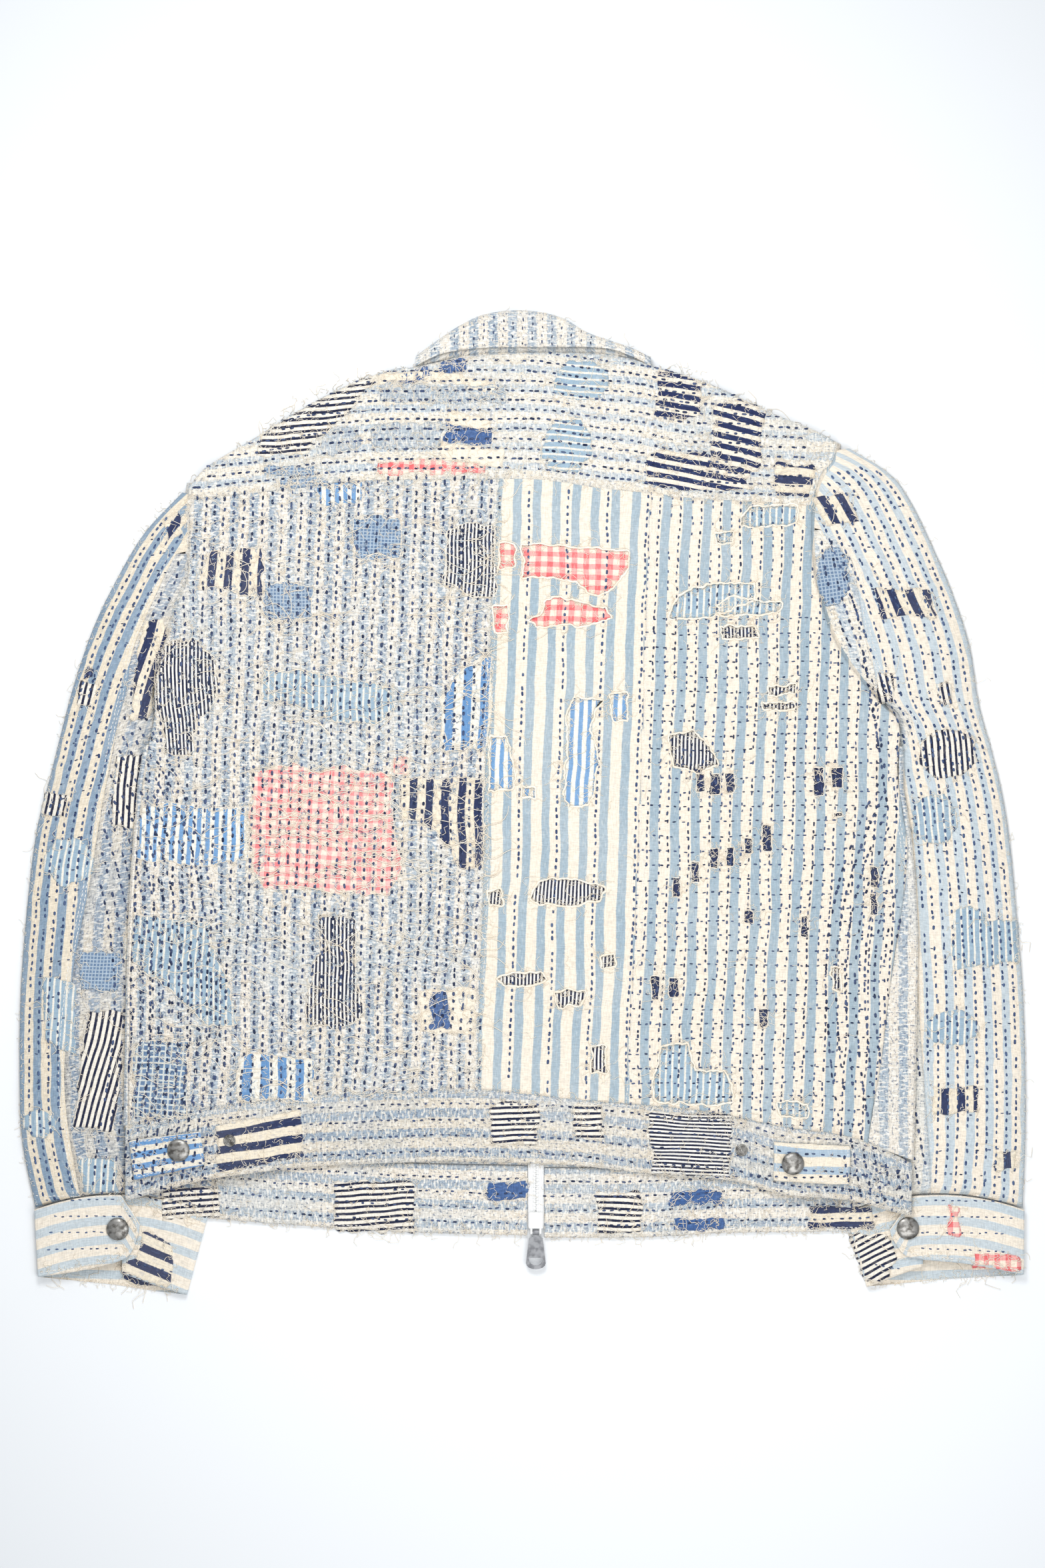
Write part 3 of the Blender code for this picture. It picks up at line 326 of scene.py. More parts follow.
# A sheet cut along an outline, with torn holes, on a regular grid of threads
def cutCloth(name, ring, height, material, holes=(), spacing=2.0, drop=1.2, grain=(0, 1, 0), uvAt=None,
             within=None):
    ring = np.asarray(ring, float)
    xs = np.arange(ring[:, 0].min() - spacing, ring[:, 0].max() + 2 * spacing, spacing)
    ys = np.arange(ring[:, 1].min() - spacing, ring[:, 1].max() + 2 * spacing, spacing)
    gx, gy = np.meshgrid(xs, ys)
    cx = gx[:-1, :-1] + spacing / 2
    cy = gy[:-1, :-1] + spacing / 2
    keep = inside(cx, cy, ring)
    for hole in holes:
        keep &= ~inside(cx, cy, hole)
    if within is not None:
        keep &= inside(cx, cy, within)
    quads = gridQuads(*gx.shape)[keep]
    usage = np.bincount(quads.ravel(), minlength=gx.size)
    used = np.flatnonzero(usage)
    x = gx.ravel()[used].copy()
    y = gy.ravel()[used].copy()
    edge = np.flatnonzero(usage[used] < 4)
    starts = np.vstack([ring] + [np.asarray(hole) for hole in holes])
    ends = np.vstack([np.roll(ring, -1, axis=0)] + [np.roll(hole, -1, axis=0) for hole in holes])
    for k in edge:
        run = ends - starts
        offset = np.array([x[k], y[k]]) - starts
        along = np.clip((offset * run).sum(1) / np.maximum((run * run).sum(1), 1e-9), 0, 1)
        nearest = starts + run * along[:, None]
        away = np.hypot(nearest[:, 0] - x[k], nearest[:, 1] - y[k])
        best = away.argmin()
        if away[best] < 1.1 * spacing:
            x[k], y[k] = nearest[best]
    place = np.zeros(gx.size, int)
    place[used] = np.arange(len(used))
    faces = place[quads]
    points = np.column_stack([x, y, height(x, y)])
    uv = uvAt(x, y) if uvAt else turnedGrain(x, y, grain)
    area = faceArea(points, faces)
    points, faces, uv = withEdge(points, faces, uv, drop)
    return makeObject(name, points, faces, material, uv), area


# A sheet made from a grid of points, such as a sleeve or a folded collar
def gridCloth(name, grid, uvGrid, material, drop):
    faces = gridQuads(*grid.shape[:2]).reshape(-1, 4)
    points = grid.reshape(-1, 3)
    area = faceArea(points, faces)
    points, faces, uv = withEdge(points, faces, uvGrid.reshape(-1, 2), drop)
    return makeObject(name, points, faces, material, uv), area


smallestSide = 10.5  # of a sheet's flat size, in mm


# Hides the CAD parts that a sheet stands in for
def declareSheet(piece, area, nodes, width, length, restsOn, slot, extras=()):
    if nodes:
        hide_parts(*nodes)
    width = max(smallestSide, min(width, 0.22 * area))


# Threads and stitches

def makeStitches(name, x, y, z, angle, length, width, material):
    count = len(x)
    sides = 4
    turn = np.arange(sides) * 2 * math.pi / sides
    ring = np.column_stack([np.zeros(sides), 0.5 * np.cos(turn), 0.5 * np.sin(turn)])
    shape = np.vstack([[(-0.5, 0, -0.35)], ring + (-0.24, 0, 0), ring + (0.24, 0, 0), [(0.5, 0, -0.35)]])
    k = np.arange(sides)
    after = (k + 1) % sides
    faces = np.vstack([np.column_stack([np.zeros(sides, int), 1 + after, 1 + k]),
                       np.column_stack([1 + k, 1 + after, 1 + sides + after]),
                       np.column_stack([1 + k, 1 + sides + after, 1 + sides + k]),
                       np.column_stack([1 + sides + k, 1 + sides + after, np.full(sides, 1 + 2 * sides)])])
    sized = np.stack([shape[None, :, 0] * length[:, None], shape[None, :, 1] * width[:, None],
                      shape[None, :, 2] * width[:, None] * 0.8], axis=-1)
    c = np.cos(angle)[:, None]
    s = np.sin(angle)[:, None]
    points = np.stack([sized[..., 0] * c - sized[..., 1] * s + x[:, None],
                       sized[..., 0] * s + sized[..., 1] * c + y[:, None],
                       sized[..., 2] + z[:, None]], axis=-1).reshape(-1, 3)
    return makeObject(name, points, repeated(faces, count, len(shape)), material)


def makeThreads(name, x, y, angle, length, wave, radius, height, material, seed, lift, knots):
    random = np.random.default_rng(seed)
    count = len(x)
    t = np.linspace(0, 1, knots)[None, :]
    phase = random.uniform(0, 2 * math.pi, (count, 1))
    cycles = random.uniform(0.6, 1.6, (count, 1))
    side = wave[:, None] * (np.sin(phase + t * cycles * 2 * math.pi) - np.sin(phase))
    curl = random.normal(0, 0.5, (count, 1)) * t * t
    along = length[:, None] * t
    heading = angle[:, None] + curl
    px = x[:, None] + along * np.cos(heading) - side * np.sin(heading)
    py = y[:, None] + along * np.sin(heading) + side * np.cos(heading)
    rise = lift * random.uniform(0.2, 1.0, (count, 1)) * np.sin(math.pi * np.clip(t * 1.1, 0, 1))
    pz = height(px.ravel(), py.ravel()).reshape(px.shape) + radius + rise
    dx = np.gradient(px, axis=1)
    dy = np.gradient(py, axis=1)
    size = np.maximum(np.hypot(dx, dy), 1e-6)
    nx = -dy / size
    ny = dx / size
    rings = []
    for turn in (0.0, 2.1, 4.2):
        out = radius * math.cos(turn)
        rings.append(np.stack([px + nx * out, py + ny * out, pz + radius * math.sin(turn)], axis=-1))
    points = np.stack(rings, axis=2).reshape(-1, 3)
    return makeObject(name, points, repeated(tubeFaces(knots, 3), count, knots * 3), material)


# Places along a line at an uneven pitch, with the line's direction
def stitchPlaces(line, pitch, random, loose):
    reach = runLengths(line)
    if reach[-1] < pitch:
        return np.zeros((0, 3))
    count = int(reach[-1] / pitch)
    at = (np.arange(count) + random.uniform(0, 1) + random.normal(0, loose, count)) * pitch
    at = np.clip(at, 0, reach[-1])
    x = np.interp(at, reach, line[:, 0])
    y = np.interp(at, reach, line[:, 1])
    step = np.gradient(line, axis=0)
    angle = np.arctan2(np.interp(at, reach, step[:, 1]), np.interp(at, reach, step[:, 0]))
    return np.column_stack([x, y, angle])


# Colours and materials

def linear(hexColour):
    parts = [int(hexColour[k:k + 2], 16) / 255 for k in (1, 3, 5)]
    return tuple(c / 12.92 if c <= 0.04045 else ((c + 0.055) / 1.055) ** 2.4 for c in parts) + (1.0,)


def addNode(tree, kind, settings=None, values=None, links=None):
    node = tree.nodes.new(kind)
    for key, value in (settings or {}).items():
        setattr(node, key, value)
    for key, value in (values or {}).items():
        node.inputs[key].default_value = value
    for key, source in (links or {}).items():
        tree.links.new(source, node.inputs[key])
    return node


def sums(tree, operation, first, second=None, third=None):
    node = addNode(tree, "ShaderNodeMath", {"operation": operation})
    for slot, value in enumerate((first, second, third)):
        if isinstance(value, (int, float)):
            node.inputs[slot].default_value = value
        elif value is not None:
            tree.links.new(value, node.inputs[slot])
    return node.outputs[0]


def mixed(tree, factor, first, second):
    node = addNode(tree, "ShaderNodeMix", {"data_type": "RGBA"})
    for key, value in (("Factor", factor), ("A", first), ("B", second)):
        socket = next(s for s in node.inputs if s.name == key and s.enabled)
        if isinstance(value, (int, float, tuple)):
            socket.default_value = value
        else:
            tree.links.new(value, socket)
    return next(s for s in node.outputs if s.enabled)


def ramped(tree, value, low, high, start=0.0, end=1.0):
    node = addNode(tree, "ShaderNodeMapRange", {"interpolation_type": "SMOOTHSTEP"},
                   {"From Min": low, "From Max": high, "To Min": start, "To Max": end}, {"Value": value})
    return node.outputs["Result"]


def noiseAt(tree, vector, size, detail=2.0, stretch=(1.0, 1.0), offset=0.0):
    moved = addNode(tree, "ShaderNodeMapping", None,
                    {"Scale": (1 / (size * stretch[0]), 1 / (size * stretch[1]), 1.0),
                     "Location": (offset, offset * 0.7, offset * 0.3)}, {"Vector": vector})
    node = addNode(tree, "ShaderNodeTexNoise", {"noise_dimensions": "2D"},
                   {"Scale": 1.0, "Detail": detail}, {"Vector": moved.outputs[0]})
    return node.outputs["Fac"]


def grainAt(tree, scale, detail=2.0):
    place = addNode(tree, "ShaderNodeTexCoord").outputs["Object"]
    node = addNode(tree, "ShaderNodeTexNoise", None, {"Scale": scale, "Detail": detail}, {"Vector": place})
    return node.outputs["Fac"]


# Starts a material, and gives it its colour, its relief with strength and depth, and its gloss
def newMaterial(name):
    material = bpy.data.materials.new(name)
    material.use_nodes = True
    return material, material.node_tree


def finishMaterial(material, colour, height, strength, depth, gloss):
    tree = material.node_tree
    shader = tree.nodes["Principled BSDF"]
    bump = addNode(tree, "ShaderNodeBump", None, {"Strength": strength, "Distance": depth},
                   {"Height": height})
    for key, value in {"Base Color": colour, "Normal": bump.outputs[0], **gloss}.items():
        if isinstance(value, float):
            shader.inputs[key].default_value = value
        else:
            tree.links.new(value, shader.inputs[key])
    return material


# Woven cotton: dry and matt, with slubs, faded areas and a soft fuzz.
# look: ground and band colours, stripe period and share, second set of stripes, wear.
# Its weave is drawn 0.9 mm wide, coarser than the real 0.4 mm, so that it shows.
def wovenCotton(name, look):
    material, tree = newMaterial(name)
    place = addNode(tree, "ShaderNodeUVMap", {"uv_map": "cloth"}).outputs[0]
    parts = addNode(tree, "ShaderNodeSeparateXYZ", None, None, {"Vector": place})
    seed = look.get("seed", 0)

    def swayed(part, size, offset):
        sway = sums(tree, "SUBTRACT", noiseAt(tree, place, size, 1.0, offset=offset), 0.5)
        return sums(tree, "ADD", part, sums(tree, "MULTIPLY", sway, look.get("wobble", 1.2)))

    u = swayed(parts.outputs[0], 24.0, seed)
    v = swayed(parts.outputs[1], 26.0, seed + 9)
    yarn = noiseAt(tree, place, 1.3, 2.0, offset=3.0)
    masks = []
    for line, period, share in ((u, look.get("period", 0), look.get("share", 0.5)),
                                (v, look.get("crossPeriod", 0), look.get("crossShare", 0.5))):
        if period:
            turns = sums(tree, "ADD", sums(tree, "MULTIPLY", line, 1.0 / period), 100.0)
            away = sums(tree, "ABSOLUTE", sums(tree, "SUBTRACT", sums(tree, "FRACT", turns), 0.5))
            fuzz = look.get("fuzz", 0.6) / period
            rough = sums(tree, "MULTIPLY", sums(tree, "SUBTRACT", yarn, 0.5), fuzz)
            soft = min(0.12, 0.25 / period)
            away = sums(tree, "ADD", away, rough)
            masks.append(ramped(tree, away, share / 2 - soft, share / 2 + soft, 1.0, 0.0))
    colour = linear(look["ground"])
    if len(masks) == 1:
        colour = mixed(tree, masks[0], colour, linear(look["band"]))
    elif masks and look.get("lines"):
        colour = mixed(tree, sums(tree, "MAXIMUM", *masks), colour, linear(look["band"]))
    elif masks:
        both = sums(tree, "MULTIPLY", *masks)
        either = sums(tree, "MAXIMUM", *masks)
        colour = mixed(tree, either, colour, linear(look["half"]))
        colour = mixed(tree, both, colour, linear(look["band"]))
    if look.get("shag"):  # abraded weave that lets cream weft show in tufts, and dark dashes that paint in stitches together with their shadows
        areas = noiseAt(tree, place, 62.0, 2.0, offset=seed + 5)
        # painted shadow: these dark dashes are stitch colour with the shade the stitches cast painted in
        stitchAndShadowDashes = noiseAt(tree, place, 1.5, 3.0, (1.0, 1.7), 11.0)
        tufts = noiseAt(tree, place, 2.3, 3.0, (1.9, 0.7), 23.0)
        for noise, low, high, most, tone in ((areas, 0.42, 0.66, 0.55, "tint"),
                                             (stitchAndShadowDashes, 0.56, 0.66, look["shag"], "stitchAndShadow"),
                                             (tufts, 0.5, 0.62, look["shag"], "tuft")):
            colour = mixed(tree, ramped(tree, noise, low, high, 0.0, most), colour, linear(look[tone]))
    worn = noiseAt(tree, place, 3.6, 4.0, (0.5, 1.5), 31.0)
    worn = ramped(tree, worn, 0.52, 0.72, 0.0, look.get("wear", 0.25))
    colour = mixed(tree, worn, colour, linear(look.get("worn", "#EFE9DC")))
    fade = noiseAt(tree, place, 80.0, 2.0, offset=17.0)
    fade = ramped(tree, fade, 0.35, 0.7, 0.0, look.get("fade", 0.16))
    colour = mixed(tree, fade, colour, linear("#F6F2EA"))
    slub = noiseAt(tree, place, 0.9, 2.0, (1.0, 6.0), 41.0)
    slub2 = noiseAt(tree, place, 0.9, 2.0, (6.0, 1.0), 43.0)
    grain = sums(tree, "ADD", sums(tree, "MULTIPLY", slub, 0.5), sums(tree, "MULTIPLY", slub2, 0.5))
    depth = look.get("depth", 0.14)
    shade = ramped(tree, grain, 0.3, 0.7, 1.0 - depth, 1.0 + 0.5 * depth)
    tinted = addNode(tree, "ShaderNodeVectorMath", {"operation": "SCALE"}, None,
                     {0: colour, "Scale": shade})
    puckers = noiseAt(tree, place, 4.5, 2.0, (1.6, 0.8), 51.0)
    relief = sums(tree, "ADD", sums(tree, "MULTIPLY", grain, 0.6), sums(tree, "MULTIPLY", puckers, 1.4))
    return finishMaterial(material, tinted.outputs[0], relief, look.get("bump", 0.6), 0.0008,
                          {"Roughness": 0.93, "Specular IOR Level": 0.2, "Sheen Weight": 0.15,
                           "Sheen Roughness": 0.6})


# Spun cotton thread: two close shades along its length, no gloss
def spunThread(name, first, second):
    material, tree = newMaterial(name)
    colour = mixed(tree, ramped(tree, grainAt(tree, 130.0), 0.35, 0.65), linear(first), linear(second))
    return finishMaterial(material, colour, grainAt(tree, 1600.0), 0.4, 0.0002,
                          {"Roughness": 0.9, "Specular IOR Level": 0.2})


# Metal or enamel on metal: colour, metallic, roughness, and fine scratches of 0.3 mm
def hardware(name, light, dark, metallic, roughness):
    material, tree = newMaterial(name)
    stains = grainAt(tree, 260.0, 4.0)
    colour = mixed(tree, ramped(tree, stains, 0.4, 0.68), linear(light), linear(dark))
    rough = ramped(tree, stains, 0.3, 0.7, roughness, min(1.0, roughness + 0.15))
    return finishMaterial(material, colour, grainAt(tree, 3000.0), 0.15, 0.0001,
                          {"Roughness": rough, "Metallic": metallic})


cream = "#F6EAD8"
clothLooks = {
    "stripedCotton": {"ground": cream, "band": "#A4B7C3", "period": stripe, "share": 0.43, "wear": 0.3,
     "worn": "#DCDFDB", "fade": 0.12, "depth": 0.16},
    "sleeveCotton": {"ground": cream, "band": "#C6D2D9", "period": stripe, "share": 0.45, "wear": 0.3,
     "worn": "#E4E5E0", "fade": 0.12, "depth": 0.16, "seed": 4},
    "sleeveShade": {"ground": "#EFE2CC", "band": "#8CA2B7", "period": stripe, "share": 0.48, "wear": 0.3,
     "worn": "#CFD4D2", "fade": 0.06, "depth": 0.2, "seed": 6},
    "boroShade": {"ground": "#DDD4C5", "band": "#8E9FB2", "period": stripe, "share": 0.5, "fuzz": 3.4,
     "shag": 0.75, "tint": "#9AA9B8", "stitchAndShadow": "#4C5C7B", "tuft": "#F1EDE4", "depth": 0.26, "bump": 1.0,
     "seed": 3},
    "greyBoro": {"ground": "#B4BFC8", "shag": 0.75, "tint": "#A3B1BE", "stitchAndShadow": "#566787", "tuft": "#EEEBE3",
     "depth": 0.26, "bump": 1.0, "seed": 13},
    "boroCloth": {"ground": "#EFE5D6", "band": "#A9B7C4", "period": stripe, "share": 0.47, "fuzz": 3.4,
     "shag": 0.8, "tint": "#C0CBD2", "stitchAndShadow": "#64748F", "tuft": "#FBF7EE", "depth": 0.24, "bump": 1.0},
    "waistBoro": {"ground": "#E4DAC9", "band": "#9AAABA", "period": stripe, "share": 0.47, "fuzz": 3.4,
     "shag": 0.8, "tint": "#AFBCC7", "stitchAndShadow": "#526280", "tuft": "#F3EEE3", "depth": 0.24, "bump": 1.0,
     "seed": 21},
    "paleBoro": {"ground": "#F1E8D8", "band": "#C3CDD4", "period": stripe, "share": 0.42, "fuzz": 3.4,
     "shag": 0.7, "tint": "#CFD5D6", "stitchAndShadow": "#74839B", "tuft": "#FBF7EE", "depth": 0.22, "bump": 1.0,
     "seed": 8},
    "redGingham": {"ground": "#FBEBD8", "half": "#F6ABA6", "band": "#EE6C70", "period": 9.0, "share": 0.48,
     "crossPeriod": 8.0, "crossShare": 0.48, "wear": 0.22, "fade": 0.08},
    "fineGingham": {"ground": "#FAEAD8", "half": "#F7BDB7", "band": "#EF8386", "period": 7.6, "share": 0.48,
     "crossPeriod": 7.0, "crossShare": 0.46, "wear": 0.45, "worn": "#F4E6D8", "fade": 0.1},
    "navyStripe": {"ground": "#F4E8D2", "band": "#2D375B", "period": 12.4, "share": 0.47, "wear": 0.25,
     "worn": "#5A729F", "fade": 0.04},
    "navyChunk": {"ground": "#2D375B", "wear": 0.45, "worn": "#5E74A0", "fade": 0.02, "depth": 0.3},
    "tickingDark": {"ground": "#FBF8F0", "band": "#1E2541", "period": 2.8, "share": 0.54, "wear": 0.1,
     "wobble": 0.8, "fade": 0.0, "fuzz": 0.2},
    "tickingWide": {"ground": "#F8F1E4", "band": "#1E2541", "period": 4.4, "share": 0.44, "wear": 0.1,
     "wobble": 1.0, "fade": 0.0, "fuzz": 0.4},
    "navyFine": {"ground": "#F8EEDC", "band": "#28325A", "period": 7.4, "share": 0.54, "wear": 0.25,
     "worn": "#5A729F", "wobble": 1.6, "fade": 0.0},
    "tickingLight": {"ground": "#F3EEE2", "band": "#9DB6C8", "period": 4.8, "share": 0.7, "wear": 0.15,
     "fade": 0.04},
    "blueStripe": {"ground": "#F6F1E4", "band": "#6C98C8", "period": 12.8, "share": 0.5, "wear": 0.35,
     "worn": "#A9C6E2", "fade": 0.05},
    "narrowBlue": {"ground": "#F8F3E6", "band": "#76A3D1", "period": 6.4, "share": 0.5, "wear": 0.2,
     "worn": "#A9C6E2", "fade": 0.05},
    "smallCheck": {"ground": "#6A84A4", "band": "#B4C4D2", "period": 2.6, "share": 0.3, "crossPeriod": 2.6,
     "crossShare": 0.3, "lines": True, "wear": 0.3, "worn": "#869DB8", "fade": 0.05, "fuzz": 0.3},
    "squareCheck": {"ground": "#6A85A6", "band": "#DDE1DC", "period": 4.3, "share": 0.28,
     "crossPeriod": 4.3, "crossShare": 0.28, "lines": True, "wear": 0.3, "worn": "#9DB3CC", "fade": 0.05,
     "fuzz": 0.4},
    "indigoDenim": {"ground": "#44659B", "wear": 0.35, "worn": "#7896C0", "fade": 0.04, "depth": 0.3},
    "creamCloth": {"ground": "#F7ECD9", "wear": 0.1, "fade": 0.1, "depth": 0.14},
    "tabBlue": {"ground": "#F3EBDA", "band": "#6F9DCE", "period": 8.2, "share": 0.5, "wear": 0.25,
     "worn": "#A9C6E2", "fade": 0.05},
    "tabPale": {"ground": "#F5EAD6", "band": "#AFC3D4", "period": 13.0, "share": 0.45, "wear": 0.15,
     "fade": 0.1},
    "zipTape": {"ground": "#FDFDFC", "band": "#ECEDEE", "period": 1.5, "share": 0.4, "wear": 0.0,
     "wobble": 0.0, "fade": 0.0, "depth": 0.1, "fuzz": 0.0},
}
cloth = {name: wovenCotton(name, look) for name, look in clothLooks.items()}
thread = {"indigo": spunThread("indigoThread", "#3B4C74", "#5C7096"),
          "slate": spunThread("slateThread", "#2C3652", "#56658A"),
          "cream": spunThread("creamThread", "#FFF8EB", "#FBEFDC"),
          "white": spunThread("whiteThread", "#FFFDF8", "#F6F2EA"),
          "paleBlue": spunThread("paleBlueThread", "#A9BCD0", "#D3DEE6")}
antiqueSilver = hardware("antiqueSilver", "#A3A19D", "#5F5C58", 1.0, 0.34)
whiteEnamel = hardware("whiteEnamel", "#FBFBFA", "#EEEEEC", 0.0, 0.35)
greyMetal = hardware("greyMetal", "#96979A", "#7C7D81", 0.55, 0.45)
print("materials made")

# Panel lines, left to right or top to bottom
lines = {
    "shoulder": [(-250, 237), (-236, 252), (-203, 272), (-171, 292), (-133, 312), (-97, 325), (-80, 326.6),
     (-48, 333.6), (0, 336.9), (48, 336.6), (82, 332.4), (97, 327.4), (120, 321), (145, 312), (187, 292),
     (218, 279.5), (236, 270)],
    "yokeEnd": [(236, 270), (232, 256), (224, 247), (219, 234), (217, 223)],
    "yokeSeam": [(-250, 230), (-187, 236), (-153, 241), (-112, 244), (-65, 244.6), (-16, 245), (17, 244),
     (58, 238), (91, 234.5), (114, 229.5), (169, 226), (217, 223)],
    "centreBack": [(-16, 245), (-16.5, 229.5), (-21, 165), (-23, 112), (-27, 7.5), (-28, -68),
     (-31, -144.5), (-32, -214)],
    "secondSeam": [(96.2, 232), (92.7, 165), (90.2, 77), (86.7, -21), (83.2, -106), (80.2, -164),
     (76.2, -222)],
    "backLeft": [(-250, 230), (-249, 202), (-250, 182), (-251, 167), (-259, 147), (-264, 130), (-272, 102),
     (-275, 84), (-275, 66), (-279, 45), (-283, 24), (-286.5, -12), (-290.5, -66), (-292.5, -120),
     (-294, -180), (-295, -241)],
    "backRight": [(217, 223), (216, 202), (218, 173), (223, 152), (230, 130), (239, 112), (250, 96),
     (262, 81), (271, 71), (279.5, 63.5), (282, 52), (280, 26), (284, -6), (287, -24), (287.5, -40),
     (285, -68), (278, -113), (272, -158), (268, -192), (262, -226), (258, -254.5)],
    "waistTop": [(-297, -241.5), (-227, -227), (-156, -220), (-78, -216), (-32, -214), (36, -221),
     (92, -225.5), (136, -230), (192, -241), (248, -250), (291, -270)],
    "waistLow": [(-297, -297), (-234, -281), (-156, -272), (-89, -269), (-56, -268), (36, -271), (92, -277),
     (159, -283), (192, -292), (246, -297), (276, -305), (291, -308)],
    "bandLeftTop": [(-292.6, -243.3), (-223, -256), (-156, -265.3), (-89, -269.7), (3.7, -271.7)],
    "bandLeftLow": [(-292.6, -299), (-283, -303), (-270, -307), (-223, -312), (-156, -317), (-89, -321),
     (-30, -323), (3.7, -323.5)],
    "bandRightTop": [(16.3, -273.3), (92, -273.3), (148, -270.8), (214, -269.3), (286.4, -268.8)],
    "bandRightLow": [(16.3, -325.5), (92, -325), (148, -322), (214, -321), (264, -319), (275, -314),
     (286.4, -300)],
}
curve = {name: smoothLine(points) for name, points in lines.items()}


def part(line, low, high, axis=0):
    return line[(line[:, axis] >= low) & (line[:, axis] <= high)]


def ringOf(*sides):
    return np.vstack(sides)


rings = {
    "backLeft": ringOf(part(curve["yokeSeam"], -251, -16), curve["centreBack"],
                       part(curve["waistTop"], -295, -32)[::-1], curve["backLeft"][::-1]),
    "backRight": ringOf(curve["centreBack"][::-1] - (1.5, 0), part(curve["yokeSeam"], -16, 217),
                        curve["backRight"], part(curve["waistTop"], -32, 258)[::-1]),
    "yoke": ringOf(curve["shoulder"], curve["yokeEnd"], curve["yokeSeam"][::-1] - (0, 2.2)),
    "waistband": ringOf(curve["waistTop"] + (0, 1.2), curve["waistLow"][::-1]),
    "bandLeft": ringOf(curve["bandLeftTop"], curve["bandLeftLow"][::-1]),
    "bandRight": ringOf(curve["bandRightTop"], curve["bandRightLow"][::-1]),
}

relief = {"back": reliefOf(["back_left", "back_right", "yoke"], 3.0, 4),
          "waist": reliefOf(["waistband_back"], 2.5, 1),
          "sleeveLeft": reliefOf(["sleeve_left_outer", "sleeve_left_under"], 3.0, 3),
          "sleeveRight": reliefOf(["sleeve_right_outer", "sleeve_right_under"], 3.0, 3)}
print("heights read")


def backHeight(x, y):
    return readRelief(relief["back"], x, y) + wrinkles(x, y)


def waistHeight(x, y):
    return readRelief(relief["waist"], x, y) + 0.3 * wrinkles(x, y) + 0.5


def bandHeight(x, y):
    return 2.6 + 0.25 * wrinkles(x, y)


# Stripes lean 2 degrees on the back, as the halves do
backGrain = {"left": (-2.1, 1.028, 2.5), "inner": (-2.1, 1.0, 4.1), "outer": (-2.1, 0.948, 1.1),
             "patch": (-2.1, 1.0, 0.0)}
# Patch cloth seen through tears in the right back: weave and outline of the tear
windows = [
    ("redGingham", [(784, 819), (840, 816), (872, 823), (896, 823), (944, 828), (944, 851), (928, 875),
     (910, 893), (896, 896), (882, 889), (865, 872), (840, 868), (784, 868)]),
    ("redGingham", [(749, 816), (773, 818), (775, 852), (750, 854)]),
    ("redGingham", [(788, 931), (812, 924), (816, 903), (840, 895), (868, 902), (889, 910), (910, 910),
     (919, 928), (893, 935), (868, 940), (805, 942)]),
    ("redGingham", [(740, 910), (762, 908), (763, 950), (741, 952)]),
    ("narrowBlue", [(860, 1047), (905, 1051), (893, 1068), (886, 1096), (896, 1121), (900, 1142),
     (889, 1191), (882, 1209), (854, 1212), (844, 1191), (851, 1138), (849, 1068)]),
    ("narrowBlue", [(736, 1102), (760, 1104), (772, 1150), (770, 1184), (734, 1186)]),
    ("narrowBlue", [(914, 1042), (940, 1040), (942, 1080), (920, 1082)]),
    ("narrowBlue", [(782, 1178), (806, 1180), (804, 1200), (784, 1196)]),
    ("tickingLight", [(1110, 775), (1125, 760), (1198, 758), (1196, 786), (1150, 791), (1112, 790)]),
    ("tickingLight", [(1072, 800), (1100, 798), (1100, 815), (1074, 816)]),
    ("tickingLight", [(1005, 928), (1012, 900), (1040, 880), (1135, 875), (1130, 900), (1090, 920),
     (1040, 928)]),
    ("tickingLight", [(1075, 910), (1095, 896), (1172, 905), (1168, 922), (1080, 924)]),
    ("tickingLight", [(991, 1569), (1033, 1563), (1041, 1590), (1044, 1603), (1086, 1605), (1098, 1624),
     (1102, 1652), (1056, 1656), (978, 1650), (983, 1609)]),
    ("tickingLight", [(1165, 1652), (1190, 1647), (1213, 1655), (1210, 1676), (1170, 1674)]),
    ("tickingDark", [(1003, 1100), (1040, 1096), (1060, 1118), (1079, 1148), (1050, 1159), (1010, 1150)]),
    ("tickingDark", [(793, 1348), (812, 1320), (850, 1315), (880, 1322), (909, 1330), (900, 1350),
     (850, 1359), (810, 1357)]),
    ("tickingDark", [(731, 1336), (752, 1332), (755, 1357), (735, 1359)]),
    ("tickingDark", [(746, 1468), (770, 1457), (815, 1460), (824, 1470), (800, 1479), (760, 1478)]),
    ("tickingDark", [(832, 1488), (850, 1483), (878, 1487), (872, 1508), (840, 1510)]),
    ("tickingDark", [(901, 1435), (922, 1429), (924, 1450), (904, 1452)]),
    ("tickingDark", [(886, 1567), (910, 1565), (912, 1608), (888, 1609)]),
    ("tickingDark", [(1079, 940), (1135, 938), (1138, 957), (1084, 959)]),
    ("tickingDark", [(1151, 1028), (1194, 1026), (1195, 1043), (1152, 1044)]),
    ("tickingDark", [(1142, 1053), (1190, 1052), (1191, 1064), (1144, 1065)]),
    ("tickingDark", [(1245, 1448), (1262, 1450), (1260, 1485), (1247, 1484)]),
]
# Small navy pieces seen through tears: left, top, right and bottom
navyChunks = [
    (1044, 1159, 1058, 1188), (1064, 1160, 1080, 1191), (1088, 1160, 1102, 1190), (1221, 1152, 1235, 1194),
    (1247, 1152, 1263, 1182), (1010, 1315, 1021, 1345), (1037, 1292, 1050, 1324), (1064, 1272, 1077, 1303),
    (1090, 1271, 1100, 1299), (1117, 1257, 1129, 1280), (1144, 1238, 1157, 1276), (1117, 1366, 1129, 1383),
    (1201, 1374, 1211, 1404), (977, 1464, 989, 1500), (1004, 1466, 1018, 1496), (1138, 1512, 1152, 1542),
    (1249, 1219, 1263, 1226), (1304, 1300, 1316, 1330), (1304, 1340, 1315, 1372),
]

